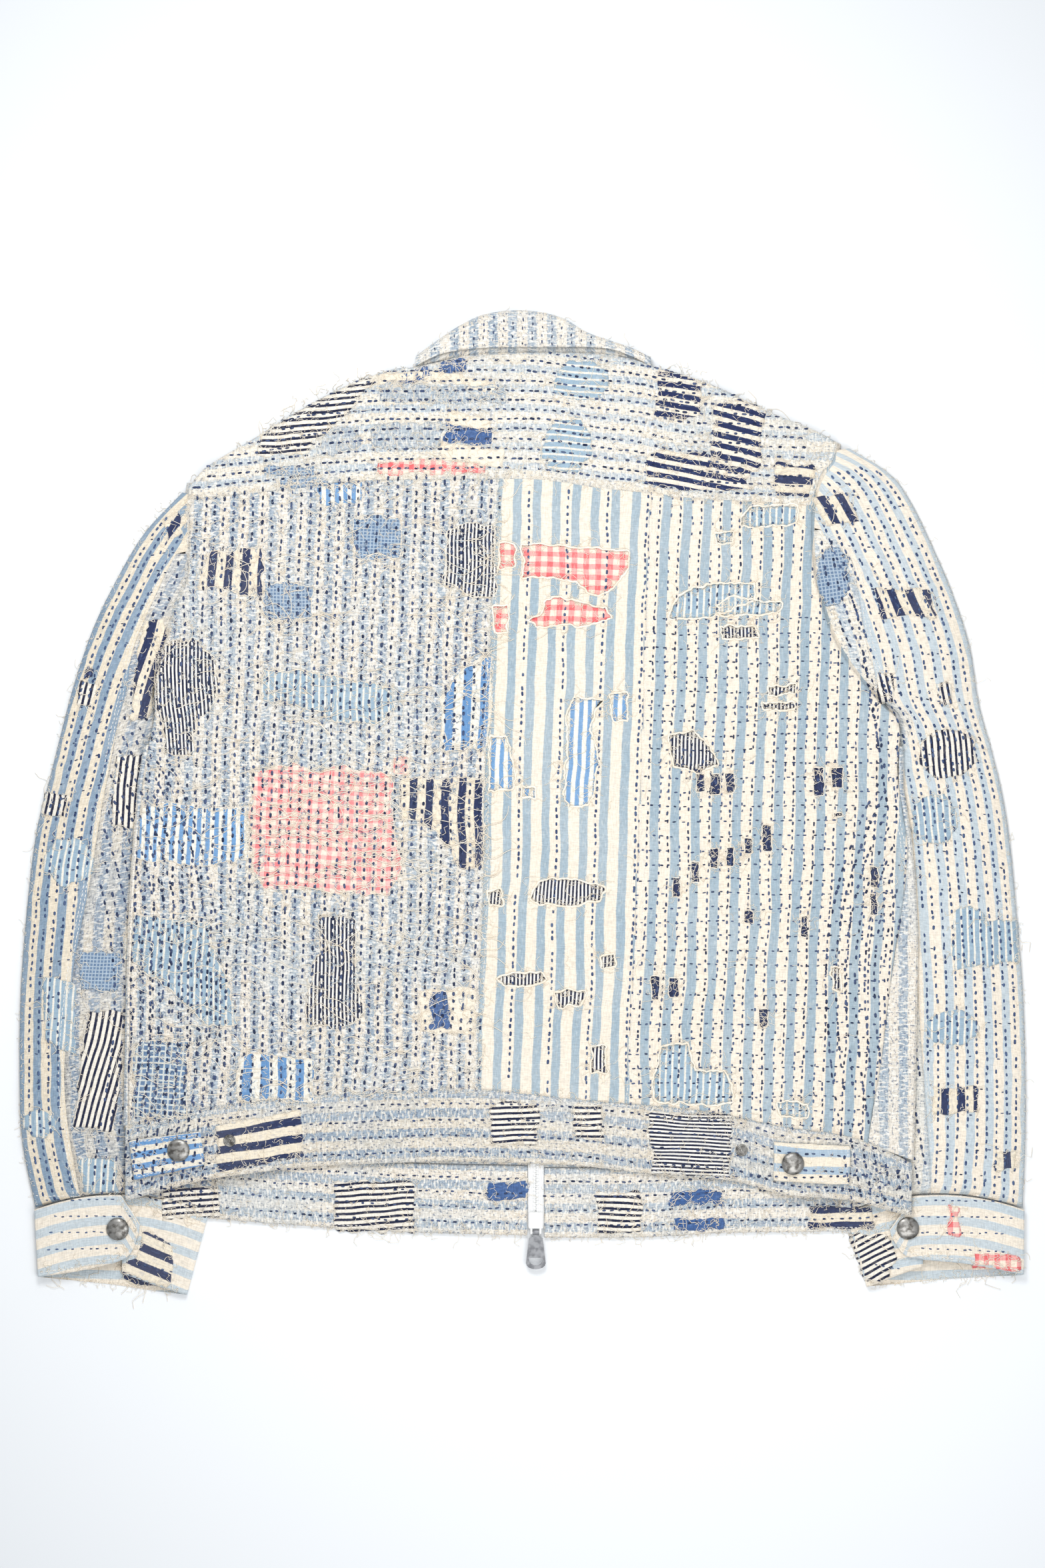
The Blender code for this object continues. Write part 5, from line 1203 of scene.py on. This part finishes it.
# Patches: name, weave, CAD node, turn of the stripes in degrees, outline
patches = [
    ("navyUpper", "navyStripe", "patch_navy_stripe_upper", -5, [(318, 824), (345, 832), (362, 824),
     (395, 822), (394, 893), (360, 893), (330, 880), (300, 884), (312, 850)]),
    ("checkUpper", "smallCheck", "patch_blue_check_upper", -2, [(532, 780), (560, 774), (601, 778),
     (600, 838), (560, 841), (532, 836)]),
    ("checkSide", "smallCheck", None, -2, [(400, 878), (430, 872), (472, 880), (468, 912), (470, 926),
     (430, 929), (397, 926)]),
    ("tickingUpper", "tickingDark", "patch_ticking_upper", -2, [(672, 800), (690, 788), (744, 786),
     (744, 898), (712, 900), (690, 884), (667, 880)]),
    ("tickingOval", "tickingDark", None, 3, [(236, 975), (262, 960), (300, 963), (326, 990), (332, 1030),
     (318, 1062), (296, 1084), (292, 1131), (250, 1130), (248, 1086), (232, 1060)]),
    ("lightMiddle", "tickingLight", "patch_light_ticking_middle", -1, [(396, 1004), (478, 1009),
     (588, 1032), (591, 1061), (562, 1087), (504, 1084), (478, 1067), (432, 1054), (393, 1051)]),
    ("blueMiddle", "blueStripe", "patch_blue_stripe_middle", -3, [(662, 1050), (690, 1010), (722, 986),
     (738, 986), (734, 1123), (690, 1126), (664, 1122)]),
    ("gingham", "fineGingham", "patch_red_gingham", -2, [(385, 1160), (440, 1145), (470, 1158), (520, 1150),
     (588, 1162), (591, 1250), (606, 1300), (585, 1342), (500, 1340), (450, 1330), (400, 1336), (380, 1300),
     (376, 1220)]),
    ("navyLower", "navyStripe", "patch_navy_stripe_lower", -2, [(602, 1168), (727, 1167), (725, 1302),
     (690, 1300), (668, 1260), (640, 1236), (604, 1226)]),
    ("blueSide", "narrowBlue", None, -2, [(204, 1212), (260, 1205), (320, 1212), (372, 1208), (374, 1290),
     (300, 1298), (203, 1288)]),
    ("lightLower", "tickingLight", "patch_light_ticking_lower", -2, [(197, 1372), (317, 1383), (321, 1427),
     (339, 1464), (354, 1505), (358, 1535), (313, 1538), (254, 1479), (202, 1442), (187, 1439)]),
    ("tickingBottle", "tickingDark", "patch_ticking_lower", -1, [(480, 1372), (535, 1376), (535, 1464),
     (546, 1501), (544, 1527), (513, 1544), (465, 1535), (461, 1505), (472, 1439), (483, 1427)]),
    ("creamLower", "creamCloth", None, 0, [(631, 1485), (713, 1483), (712, 1550), (632, 1548)]),
    ("indigoLower", "indigoDenim", None, 0, [(648, 1485), (674, 1484), (676, 1540), (646, 1542)]),
    ("checkLower", "squareCheck", "patch_blue_check_lower", -4, [(200, 1585), (217, 1562), (284, 1560),
     (282, 1675), (205, 1672)]),
    ("blueLower", "blueStripe", "patch_blue_stripe_lower", -2, [(358, 1582), (400, 1579), (472, 1590),
     (470, 1649), (360, 1648)]),
    ("redAbove", "fineGingham", None, -2, box(590, 1136, 612, 1160)),
    ("yokeTicking", "tickingWide", None, 95, [(390, 655), (430, 615), (470, 590), (520, 572), (556, 562),
     (560, 576), (545, 592), (520, 622), (500, 644), (470, 660), (467, 683), (390, 684)]),
    ("yokeGreyA", "greyBoro", None, 90, [(572, 572), (668, 580), (762, 578), (758, 606), (664, 608),
     (570, 604)]),
    ("yokeGreyB", "greyBoro", None, 90, [(562, 636), (666, 634), (662, 672), (600, 676), (560, 670)]),
    ("yokeGreyC", "greyBoro", None, 90, [(486, 652), (540, 640), (541, 668), (500, 686), (476, 684)]),
    ("yokeBand", "creamCloth", None, 88, [(566, 562), (640, 557), (690, 561), (744, 580), (742, 594),
     (690, 576), (640, 571), (568, 577)]),
    ("yokeCheckA", "smallCheck", None, 92, [(394, 701), (473, 700), (472, 716), (396, 717)]),
    ("yokeCheckB", "smallCheck", None, 92, [(423, 719), (493, 718), (492, 731), (424, 733)]),
    ("yokeRed", "redGingham", None, 86, [(564, 694), (640, 690), (730, 700), (728, 712), (600, 713),
     (566, 711)]),
    ("yokeIndigoA", "indigoDenim", None, 98, [(604, 562), (640, 550), (646, 566), (608, 576)]),
    ("yokeIndigoB", "indigoDenim", None, 98, [(659, 545), (700, 540), (702, 556), (661, 560)]),
    ("yokeCreamA", "creamCloth", None, 82, [(673, 613), (738, 632), (738, 650), (670, 638)]),
    ("yokeCreamB", "creamCloth", None, 82, [(664, 664), (755, 676), (755, 702), (660, 690)]),
    ("blueTop", "narrowBlue", None, -2, [(478, 730), (543, 724), (541, 754), (480, 759)]),
    ("yokeIndigoC", "indigoDenim", None, 82, [(670, 636), (738, 646), (738, 672), (666, 662)]),
    ("yokeBlueA", "tickingLight", None, 86, blob(831, 541, 914, 603)),
    ("yokeBlueB", "tickingLight", None, 84, blob(812, 629, 888, 710)),
    ("yokeNavyA", "navyFine", None, 80, [(990, 556), (1020, 548), (1056, 560), (1052, 625), (1010, 634),
     (983, 628)]),
    ("yokeNavyB", "navyFine", None, 75, [(1072, 612), (1110, 599), (1147, 615), (1140, 700), (1110, 721),
     (1063, 712)]),
    ("yokeNavyC", "navyFine", None, 80, [(972, 690), (990, 676), (1060, 680), (1128, 706), (1120, 722),
     (1130, 738), (1010, 733), (967, 728)]),
    ("yokeNavyD", "navyStripe", None, 84, [(1165, 696), (1219, 700), (1215, 746), (1161, 742)]),
    ("bandNavy", "navyStripe", None, 100, [(326, 1688), (452, 1664), (456, 1732), (330, 1757)]),
    ("bandTickingA", "tickingWide", None, 92, box(737, 1652, 808, 1716)),
    ("bandTickingB", "tickingWide", None, 90, box(862, 1656, 904, 1706)),
    ("bandTickingC", "tickingDark", None, 87, [(976, 1667), (1098, 1672), (1096, 1768), (978, 1760)]),
    ("hemTickingA", "tickingWide", None, 96, box(246, 1779, 329, 1824)),
    ("hemTickingB", "tickingWide", None, 92, box(502, 1772, 622, 1848)),
    ("hemIndigoA", "indigoDenim", None, 90, box(732, 1772, 793, 1798)),
    ("hemTickingC", "tickingWide", None, 90, box(896, 1788, 964, 1848)),
    ("hemIndigoB", "indigoDenim", None, 90, box(1006, 1786, 1084, 1806)),
    ("hemIndigoC", "indigoDenim", None, 90, box(1010, 1826, 1086, 1846)),
    ("hemNavy", "navyStripe", None, 90, box(1216, 1810, 1308, 1842)),
    ("rightNavyA", "navyStripe", None, 32, [(1216, 745), (1270, 741), (1289, 782), (1240, 791)]),
    ("rightNavyB", "navyStripe", None, 24, [(1312, 884), (1392, 886), (1402, 926), (1322, 928)]),
    ("rightShortA", "tickingWide", None, 14, box(1318, 1012, 1339, 1054)),
    ("rightShortB", "tickingWide", None, 12, box(1405, 1025, 1428, 1057)),
    ("rightTicking", "tickingWide", None, 6, blob(1375, 1094, 1466, 1166)),
    ("rightLightA", "tickingLight", None, 6, blob(1367, 1191, 1436, 1266)),
    ("rightLightB", "tickingLight", None, 2, [(1428, 1366), (1452, 1359), (1478, 1372), (1480, 1380),
     (1528, 1384), (1528, 1440), (1430, 1454)]),
    ("rightLightC", "tickingLight", None, 0, blob(1388, 1515, 1467, 1567)),
    ("rightNavyC", "navyStripe", None, 0, box(1399, 1630, 1467, 1667)),
    ("rightNavyD", "navyStripe", None, 0, box(1492, 1725, 1524, 1753)),
    ("rightUnderCheck", "smallCheck", None, 8, blob(1226, 822, 1274, 908)),
    ("sideCheck", "smallCheck", None, 2, box(1355, 1286, 1370, 1340)),
    ("sideTicking", "tickingDark", None, 0, box(1328, 1542, 1366, 1612)),
    ("leftNavyA", "navyStripe", None, -32, [(250, 780), (268, 771), (276, 800), (256, 807)]),
    ("leftIndigo", "navyChunk", None, -15, box(129, 1004, 143, 1018)),
    ("leftShortA", "tickingWide", None, -15, [(122, 1021), (147, 1026), (140, 1062), (116, 1058)]),
    ("leftShortB", "tickingWide", None, -10, [(68, 1190), (104, 1194), (100, 1225), (64, 1220)]),
    ("leftLightA", "tickingLight", None, -8, blob(68, 1257, 143, 1327)),
    ("leftLightB", "tickingLight", None, -4, [(68, 1466), (112, 1472), (118, 1586), (70, 1560)]),
    ("leftLightC", "tickingLight", None, -2, blob(34, 1662, 84, 1704)),
    ("leftUnderNavy", "navyStripe", None, -16, [(216, 930), (252, 925), (240, 1010), (226, 1080),
     (196, 1080), (206, 1000)]),
    ("leftUnderTicking", "tickingWide", None, -4, [(176, 1134), (214, 1136), (210, 1243), (168, 1240)]),
    ("leftUnderCheck", "smallCheck", None, -4, box(122, 1430, 182, 1486)),
    ("leftUnderStripe", "tickingWide", None, -14, [(136, 1516), (187, 1518), (182, 1640), (172, 1697),
     (112, 1690), (122, 1590)]),
    ("leftUnderLight", "tickingLight", None, -6, [(118, 1740), (176, 1737), (178, 1790), (126, 1786)]),
    ("cuffLeftNavy", "navyStripe", None, 66, [(216, 1846), (262, 1868), (256, 1928), (190, 1926),
     (180, 1898), (206, 1884)]),
    ("cuffRightNavy", "tickingWide", None, 118, [(1272, 1850), (1330, 1848), (1345, 1886), (1330, 1918),
     (1296, 1922)]),
    ("cuffRightRed", "redGingham", None, 90, [(1460, 1878), (1532, 1880), (1532, 1908), (1458, 1902)]),
    ("cuffRightSpot", "redGingham", None, 0, [(1424, 1808), (1440, 1812), (1438, 1856), (1422, 1850)]),
]
patchSlots = {weave: slot for slot, weaves in {
    "navy_cloth": ("navyStripe", "tickingDark", "tickingWide", "navyChunk", "navyFine"),
    "boro_cloth": ("greyBoro",), "red_cloth": ("redGingham", "fineGingham"),
    "striped_cloth": ("creamCloth",)}.items() for weave in weaves}  # the others are blue_cloth
patchParents = {"yoke": rings["yoke"], "band": rings["waistband"]}


def sewPatch(name, weave, node, turn, outline):
    seed = sum(ord(letter) for letter in name)
    lift = 0.9 if name == "indigoLower" else 0.7 if node else 0.5  # indigoLower lies on another patch
    ring = raggedRing(atPhoto(outline), 1.7, seed)
    parent = next((ring for start, ring in patchParents.items() if name.startswith(start)), None)
    piece, area = cutCloth(name + "Patch", ring, lambda x, y: topOfCloth(x, y) + lift, cloth[weave], (),
                           1.8, lift + 0.4, (turn, 1, seed % 7), None, parent)
    across, along = np.ptp([v.co for v in piece.data.vertices], axis=0)[:2] / mm
    declareSheet(piece, area, [node] if node else [], across, along, ["jacket"],
                 patchSlots.get(weave, "blue_cloth"))
    return ring


patchRings = [sewPatch(*row) for row in patches]
print("patches sewn")
topOfAll = surfaceNow()
for side in ("left", "right"):
    turned(f"socket{side.capitalize()}", f"snap_socket_{side}", socketProfile,
           base=lambda x, y: topOfAll([x], [y])[0])


def keepInside(places, within):
    keep = np.ones(len(places), bool)
    for ring in within:
        keep &= inside(places[:, 0], places[:, 1], ring)
    return places[keep]


# Sews along paths: pitch, length and width of a stitch, share left out, spread along the path
def sewRun(name, paths, pitch, length, width, yarn, seed, within=(), skip=0.0, loose=0.12):
    random = np.random.default_rng(seed)
    places = np.vstack([stitchPlaces(path, pitch, random, loose) for path in paths if len(path) > 2])
    places = keepInside(places, within)
    places = places[random.uniform(0, 1, len(places)) > skip]
    count = len(places)
    angle = places[:, 2] + random.normal(0, 0.1, count)
    x = places[:, 0] + random.normal(0, 0.2, count)
    y = places[:, 1] + random.normal(0, 0.2, count)
    makeStitches(name, x, y, topOfAll(x, y) + 0.12, angle, length * random.uniform(0.95, 1.5, count),
                 width * random.uniform(0.8, 1.25, count), thread[yarn])


def columns(us, low, high, grain):
    return [grainLine(u, low, high, grain) for u in us]


def rowsAcross(x0, x1, ys):
    x = np.arange(x0, x1, 3.0)
    return [np.column_stack([x, y + 1.6 * softNoise(x, x * 0 + y, 30.0, 71)]) for y in ys]


# Rows that follow the yoke's seam, or a band's edge, at set distances
def rowsBeside(line, distances):
    x, y = line.T
    return [line + (0, distance) + np.column_stack([x * 0, 0.8 * softNoise(x, y + distance, 26.0, 72)])
            for distance in distances]


sleeveRows = 150


def sleeveLines(side, aways, outer=True):
    v, near, far, split, width = sleeveFrame(side, sleeveRows)
    paths = []
    for away in aways:
        t = 1 - away / width if outer else away / width
        if outer:
            on = (t > split + 3 / width) & (v > 0.05)
        else:
            on = (t < split - 3 / width) & (v > sleeves[side]["start"])
        spot = sleevePlan(near, far, v, t)[on]
        if len(spot) > 4:
            paths.append(spot)
    return paths


def sleeveBands(side, shares):
    near, far, split = sleeveFrame(side, sleeveRows)[1:4]
    paths = []
    for share in shares:
        k = int(share * (sleeveRows - 1))
        t = np.linspace(max(split[k], 0.02) + 0.02, 0.97, 40)
        row = near[k] + (far[k] - near[k]) * t[:, None]
        paths.append(row + np.column_stack([t * 0, 2.0 * np.sin(t * 5 + k)]))
    return paths


left, right, yoke = rings["backLeft"], rings["backRight"], rings["yoke"]
lowEnd, highEnd = -260, 250
stripesAt = np.arange(73, 300, stripe)
leftRows = columns(np.arange(-300, 0, rowPitch), lowEnd, highEnd, backGrain["left"])
innerRows = columns(np.arange(0, 110, 2 * stripe) + 1.5, lowEnd, highEnd, backGrain["inner"])
# Running stitches are 5.5 to 7 mm apart in their rows
sewRun("leftBackStitches", leftRows, 6.3, 3.6, 1.7, "slate", 1, [left], 0.08)
sewRun("rightInnerStitches", innerRows, 5.4, 3.2, 1.5, "indigo", 2, [right, splitLeft], 0.05)
sewRun("rightOuterStitches", columns(stripesAt + 2.5, -270, highEnd, backGrain["outer"]), 5.6, 3.0, 1.25,
       "slate", 3, [right, splitRight], 0.06)
sewRun("rightOuterEdges", columns(stripesAt - 3.6, -270, highEnd, backGrain["outer"]), 5.6, 2.6, 1.1,
       "indigo", 4, [right, splitRight], 0.35)
sewRun("rightOuterRows", rowsAcross(80, 290, np.arange(-262, 145, 10.8)), 6.3, 2.4, 1.0, "slate", 5,
       [right, splitRight], 0.08)
sewRun("yokeRows", rowsBeside(curve["yokeSeam"], np.arange(6, 110, rowPitch)), 6.2, 3.4, 1.5, "slate", 6,
       [yoke], 0.08)
for name, line, ring, distances, seed in (
        ("waistRows", "waistLow", "waistband", (8, 20, 32, 44), 7),
        ("hemRowsLeft", "bandLeftLow", "bandLeft", (9, 20, 31, 42), 8),
        ("hemRowsRight", "bandRightLow", "bandRight", (9, 20, 31, 42), 9)):
    sewRun(name, rowsBeside(curve[line], distances), 6.4, 2.8, 1.3, "slate", seed, [rings[ring]], 0.08)
for side, seed, bare in (("left", 11, 0.3), ("right", 21, 0.55)):
    sewRun(f"{side}SleeveStitches", sleeveLines(side, np.arange(7.6, 160, rowPitch)), 5.6, 3.2, 1.5,
           "indigo", seed, (), 0.1)
    sewRun(f"{side}SleeveRows", sleeveBands(side, np.linspace(0.1, 0.97, 30)), 7.3, 2.2, 0.85, "slate",
           seed + 1, (), bare)
    sewRun(f"{side}UnderStitches", sleeveLines(side, np.arange(6, 90, rowPitch), False), 6.2, 3.4, 1.6,
           "slate", seed + 2, (), 0.15)
cuffRows = {"left": [(-356, -297, -300, -296), (-356, -309, -290, -309), (-356, -321, -292, -321),
                     (-356, -334, -300, -333), (-290, -345, -256, -352)],
            "right": [(300, -297, 366, -298), (292, -309, 368, -310), (290, -321, 369, -322),
                      (298, -333, 370, -336), (262, -345, 290, -350)]}
for side, rows in cuffRows.items():
    paths = [straightLine([(x0, y0), (x1, y1)], 3) for x0, y0, x1, y1 in rows]
    sewRun(f"{side}CuffStitches", paths, 6.2, 2.4, 0.95, "indigo", 30 + len(side))
collarLines = [straightLine([(x, 338), (x + 1, 368)], 2) for x in np.arange(-66, 86, rowPitch)]
collarTop = smoothLine([(row[0], row[3] - 2) for row in collarRows])
collarLow = smoothLine([(row[0], row[2]) for row in collarRows])
collarRing = ringOf(collarTop, collarLow[::-1])
sewRun("collarStitches", collarLines, 5.4, 2.3, 0.9, "slate", 33, [collarRing], 0.1)

# Machine topstitching, 3.2 mm a stitch, in cream and white
seamRows = [curve[name] + (dx, dy) for name, dx, dy in (
    ("yokeSeam", 0, 0.6), ("yokeSeam", 0, 4.6), ("centreBack", 1.6, 0), ("centreBack", -3.0, 0),
    ("secondSeam", 1.6, 0), ("secondSeam", 5.4, 0), ("waistTop", 0, -2.2), ("waistLow", 0, 2.6),
    ("bandLeftLow", 0, 2.6), ("bandRightLow", 0, 2.6), ("shoulder", 0, -4.0))]
seamRows += [collarTop - (0, 2.0), collarLow + (0, 3.0)]
sewRun("seamTopstitching", seamRows, 3.2, 2.5, 0.55, "white", 41, (), 0.0, 0.02)
trim = []
for side in ("left", "right"):
    v, near, far, split, width = sleeveFrame(side, sleeveRows)
    for away in (1.8, 4.4):
        on = v > sleeves[side]["start"]
        trim.append(sleevePlan(near, far, v, np.maximum(split, 6 / width) + away / width)[on])
for tab in tabs.values():
    middle = tab["ring"].mean(0)
    trim.append(middle + (closed(tab["ring"]) - middle) * (0.93, 0.87))
cuffEdges = {  # along the lower edge and up the lap, then under the seam
    "left": [[(-360, -351), (-332, -347), (-303, -340), (-294, -334), (-289.5, -322), (-289, -315),
              (-296, -304), (-304, -294)], [(-364, -294), (-306, -294)]],
    "right": [[(371, -349), (335, -342), (297, -338), (286, -334), (279, -325), (279, -319), (286, -308),
               (295, -294)], [(300, -294), (372, -294)]]}
for runs in cuffEdges.values():
    trim += [straightLine(run, 2) for run in runs]
sewRun("trimTopstitching", trim, 3.2, 2.5, 0.6, "white", 42, (), 0.0, 0.02)
print("stitches sewn")


# Torn edges: the rim rolls over and holds together in cream, as a tube of four sides
def rolledEdges(name, ringList, radius, seed):
    points = []
    faces = []
    start = 0
    sides = 4
    for ring in ringList:
        count = len(ring)
        normal = sideways(ring)
        thick = radius * (1 + 0.5 * softNoise(ring[:, 0] * 3, ring[:, 1] * 3, 4.0, seed))
        middle = np.maximum(*(topOfAll(*(ring + normal * shift).T) for shift in (0.5, -0.8))) + 0.05
        j = np.arange(count)
        after = (j + 1) % count
        for k in range(sides):
            turn = 2 * math.pi * k / sides
            points.append(np.column_stack([ring + normal * (thick * math.cos(turn))[:, None],
                                           middle + thick * math.sin(turn)]))
            low = start + k * count
            high = start + ((k + 1) % sides) * count
            faces.append(np.column_stack([low + j, low + after, high + after, high + j]))
        start += sides * count
    makeObject(name, np.vstack(points), np.vstack(faces), thread["cream"])


rolledEdges("windowRims", holeRings, 0.8, 51)
rolledEdges("chunkRims", chunkRings, 0.4, 52)
rolledEdges("patchRims", patchRings[:17], 0.3, 53)  # those on the left back


# Cream threads stand out from frayed edges, one for every few mm
def fray(name, edges, every, length, seed, radius):
    random = np.random.default_rng(seed)
    rows = np.vstack([stitchPlaces(edge, every, random, 0.5) for edge in edges])
    count = len(rows)
    side = np.where(random.uniform(0, 1, count) > 0.5, 1, -1) * math.pi / 2
    heading = rows[:, 2] + side + random.normal(0, 0.9, count)
    long = length * random.gamma(2.0, 0.5, count)
    x = rows[:, 0] + random.normal(0, 0.5, count)
    y = rows[:, 1] + random.normal(0, 0.5, count)
    makeThreads(name, x, y, heading, np.clip(long, 1.5, 4 * length), 0.16 * long + 0.3, radius, topOfAll,
                thread["cream"], seed + 1, 0.9, 5)


def sleeveFold(side):
    v, near, far = sleeveFrame(side, sleeveRows)[:3]
    return sleevePlan(near, far, v, np.full(sleeveRows, 0.992))


frayedSeams = ("yokeSeam", "centreBack", "waistTop", "waistLow", "bandLeftLow", "bandRightLow", "backLeft")
cuffEnds = [[(-258, -366), (-300, -360), (-350, -356)], [(262, -361), (310, -356), (370, -353)]]
fray("windowFray", [closed(ring) for ring in tears], 1.7, 5.5, 61, 0.24)
fray("patchFray", [closed(ring) for ring in patchRings], 3.5, 5.5, 63, 0.27)
fray("seamFray", [curve[name] for name in frayedSeams], 2.0, 4.5, 65, 0.24)
folds = [sleeveFold("left"), sleeveFold("right"), curve["shoulder"] - (0, 0.5), collarTop + (0, 1)]
fray("edgeFray", folds, 3.0, 3.2, 67, 0.2)
fray("cuffFray", [straightLine(run) for run in [runs[0] for runs in cuffEdges.values()] + cuffEnds],
     1.8, 4.0, 69, 0.22)


# Loose fuzz over the mended cloth, each a short curl. band: only on the stripes of that grain
def fuzz(name, ring, count, length, yarn, seed, radius, heading=None, waves=0.3, lift=0.7, knots=4,
         band=None):
    random = np.random.default_rng(seed)
    places = keepInside(random.uniform(ring.min(0), ring.max(0), (count * 3, 2)), [ring])
    if band is not None:
        u = turnedGrain(places[:, 0], places[:, 1], band)[:, 0]
        places = places[np.abs(np.mod(u / stripe, 1) - 0.5) < 0.27]
    x, y = places[:count].T
    count = len(x)
    turn = random.uniform(0, 2 * math.pi, count) if heading is None else random.normal(heading, 0.25, count)
    long = length * random.uniform(0.5, 1.5, count)
    makeThreads(name, x, y, turn, long, waves * long, radius, topOfAll, thread[yarn], seed + 1, lift, knots)


fuzz("leftCreamFuzz", left, 2600, 4.5, "cream", 71, 0.24)
fuzz("leftBlueFuzz", left, 1900, 3.6, "paleBlue", 73, 0.26, band=backGrain["left"])
fuzz("leftSlateFuzz", left, 900, 2.6, "indigo", 75, 0.22, band=backGrain["left"])
fuzz("yokeFuzz", yoke, 900, 4.2, "cream", 77, 0.22)
for name, ring, count, seed in (("waistFuzz", "waistband", 500, 79), ("hemFuzzLeft", "bandLeft", 260, 81),
                                ("hemFuzzRight", "bandRight", 260, 83)):
    fuzz(name, rings[ring], count, 4.0, "cream", seed, 0.22)
# Weft threads that have come loose lie across in long waves
for name, ring, count, length, seed, radius, heading, waves, lift, knots in (
        ("leftWefts", left, 420, 26.0, 85, 0.34, 0.0, 0.06, 0.8, 10),
        ("ginghamWefts", patchRings[7], 90, 30.0, 87, 0.36, 0.0, 0.06, 0.7, 12),
        ("yokeWefts", yoke, 70, 16.0, 89, 0.26, 0.0, 0.1, 0.8, 10),
        ("rightWefts", right, 90, 14.0, 91, 0.22, None, 0.14, 0.8, 9)):
    fuzz(name, ring, count, length, "cream", seed, radius, heading, waves, lift, knots)
print("threads laid")

# Floor, lights, camera
# The floor colour holds a painted shade: it greys away from the middle, so the corners of the picture go a
# little darker, standing in for light that falls off there
vignetteShadedFloor, tree = newMaterial("floorPaintedVignette")
place = addNode(tree, "ShaderNodeTexCoord").outputs["Object"]
away = addNode(tree, "ShaderNodeVectorMath", {"operation": "LENGTH"}, None, {0: place}).outputs["Value"]
# painted shade: this ramp darkens the floor colour with distance from the middle
fade = addNode(tree, "ShaderNodeValToRGB", None, None, {"Fac": away})
for stop, (reach, tone) in zip(fade.color_ramp.elements, ((0.42, "#F9FBFD"), (0.74, "#EFF2F5"))):
    stop.position = reach
    stop.color = linear(tone)
floorShader = tree.nodes["Principled BSDF"]
tree.links.new(fade.outputs["Color"], floorShader.inputs["Base Color"])
floorShader.inputs["Roughness"].default_value = 0.9
floorZ = -0.0005
floorMesh = bpy.data.meshes.new("floor")
floorMesh.from_pydata([(x, y, floorZ) for x, y in box(-6, -6, 6, 6)], [], [(0, 1, 2, 3)])
floorMesh.materials.append(vignetteShadedFloor)
link("floor", floorMesh)

world = bpy.data.worlds.new("studio")
bpy.context.scene.world = world
world.use_nodes = True
background = world.node_tree.nodes["Background"].inputs
background["Color"].default_value = (0.94, 0.97, 1.0, 1.0)
background["Strength"].default_value = 0.56

lamps = {"key": {"at": (-0.12, 0.5, 0.95), "size": 0.4, "power": 5.7},
         "fill": {"at": (0.2, -0.5, 1.0), "size": 0.8, "power": 4.7}}
for name, lamp in lamps.items():
    light = bpy.data.lights.new(name, "AREA")
    light.size = lamp["size"]
    light.energy = lamp["power"]
    holder = link(name, light)
    holder.location = lamp["at"]
    holder.rotation_euler = (-Vector(lamp["at"])).to_track_quat("-Z", "Y").to_euler()

view = {"distance": 3.6, "frameHeight": 1.176, "centreY": 0.0145, "sensor": 36.0}
camera = bpy.data.cameras.new("camera")
camera.lens = view["sensor"] * view["distance"] / view["frameHeight"]
camera.sensor_width = view["sensor"]
camera.clip_end = 30.0
cameraHolder = link("camera", camera)
cameraHolder.location = (0, view["centreY"], view["distance"])
bpy.context.scene.camera = cameraHolder
bpy.context.scene.view_settings.view_transform = "Standard"
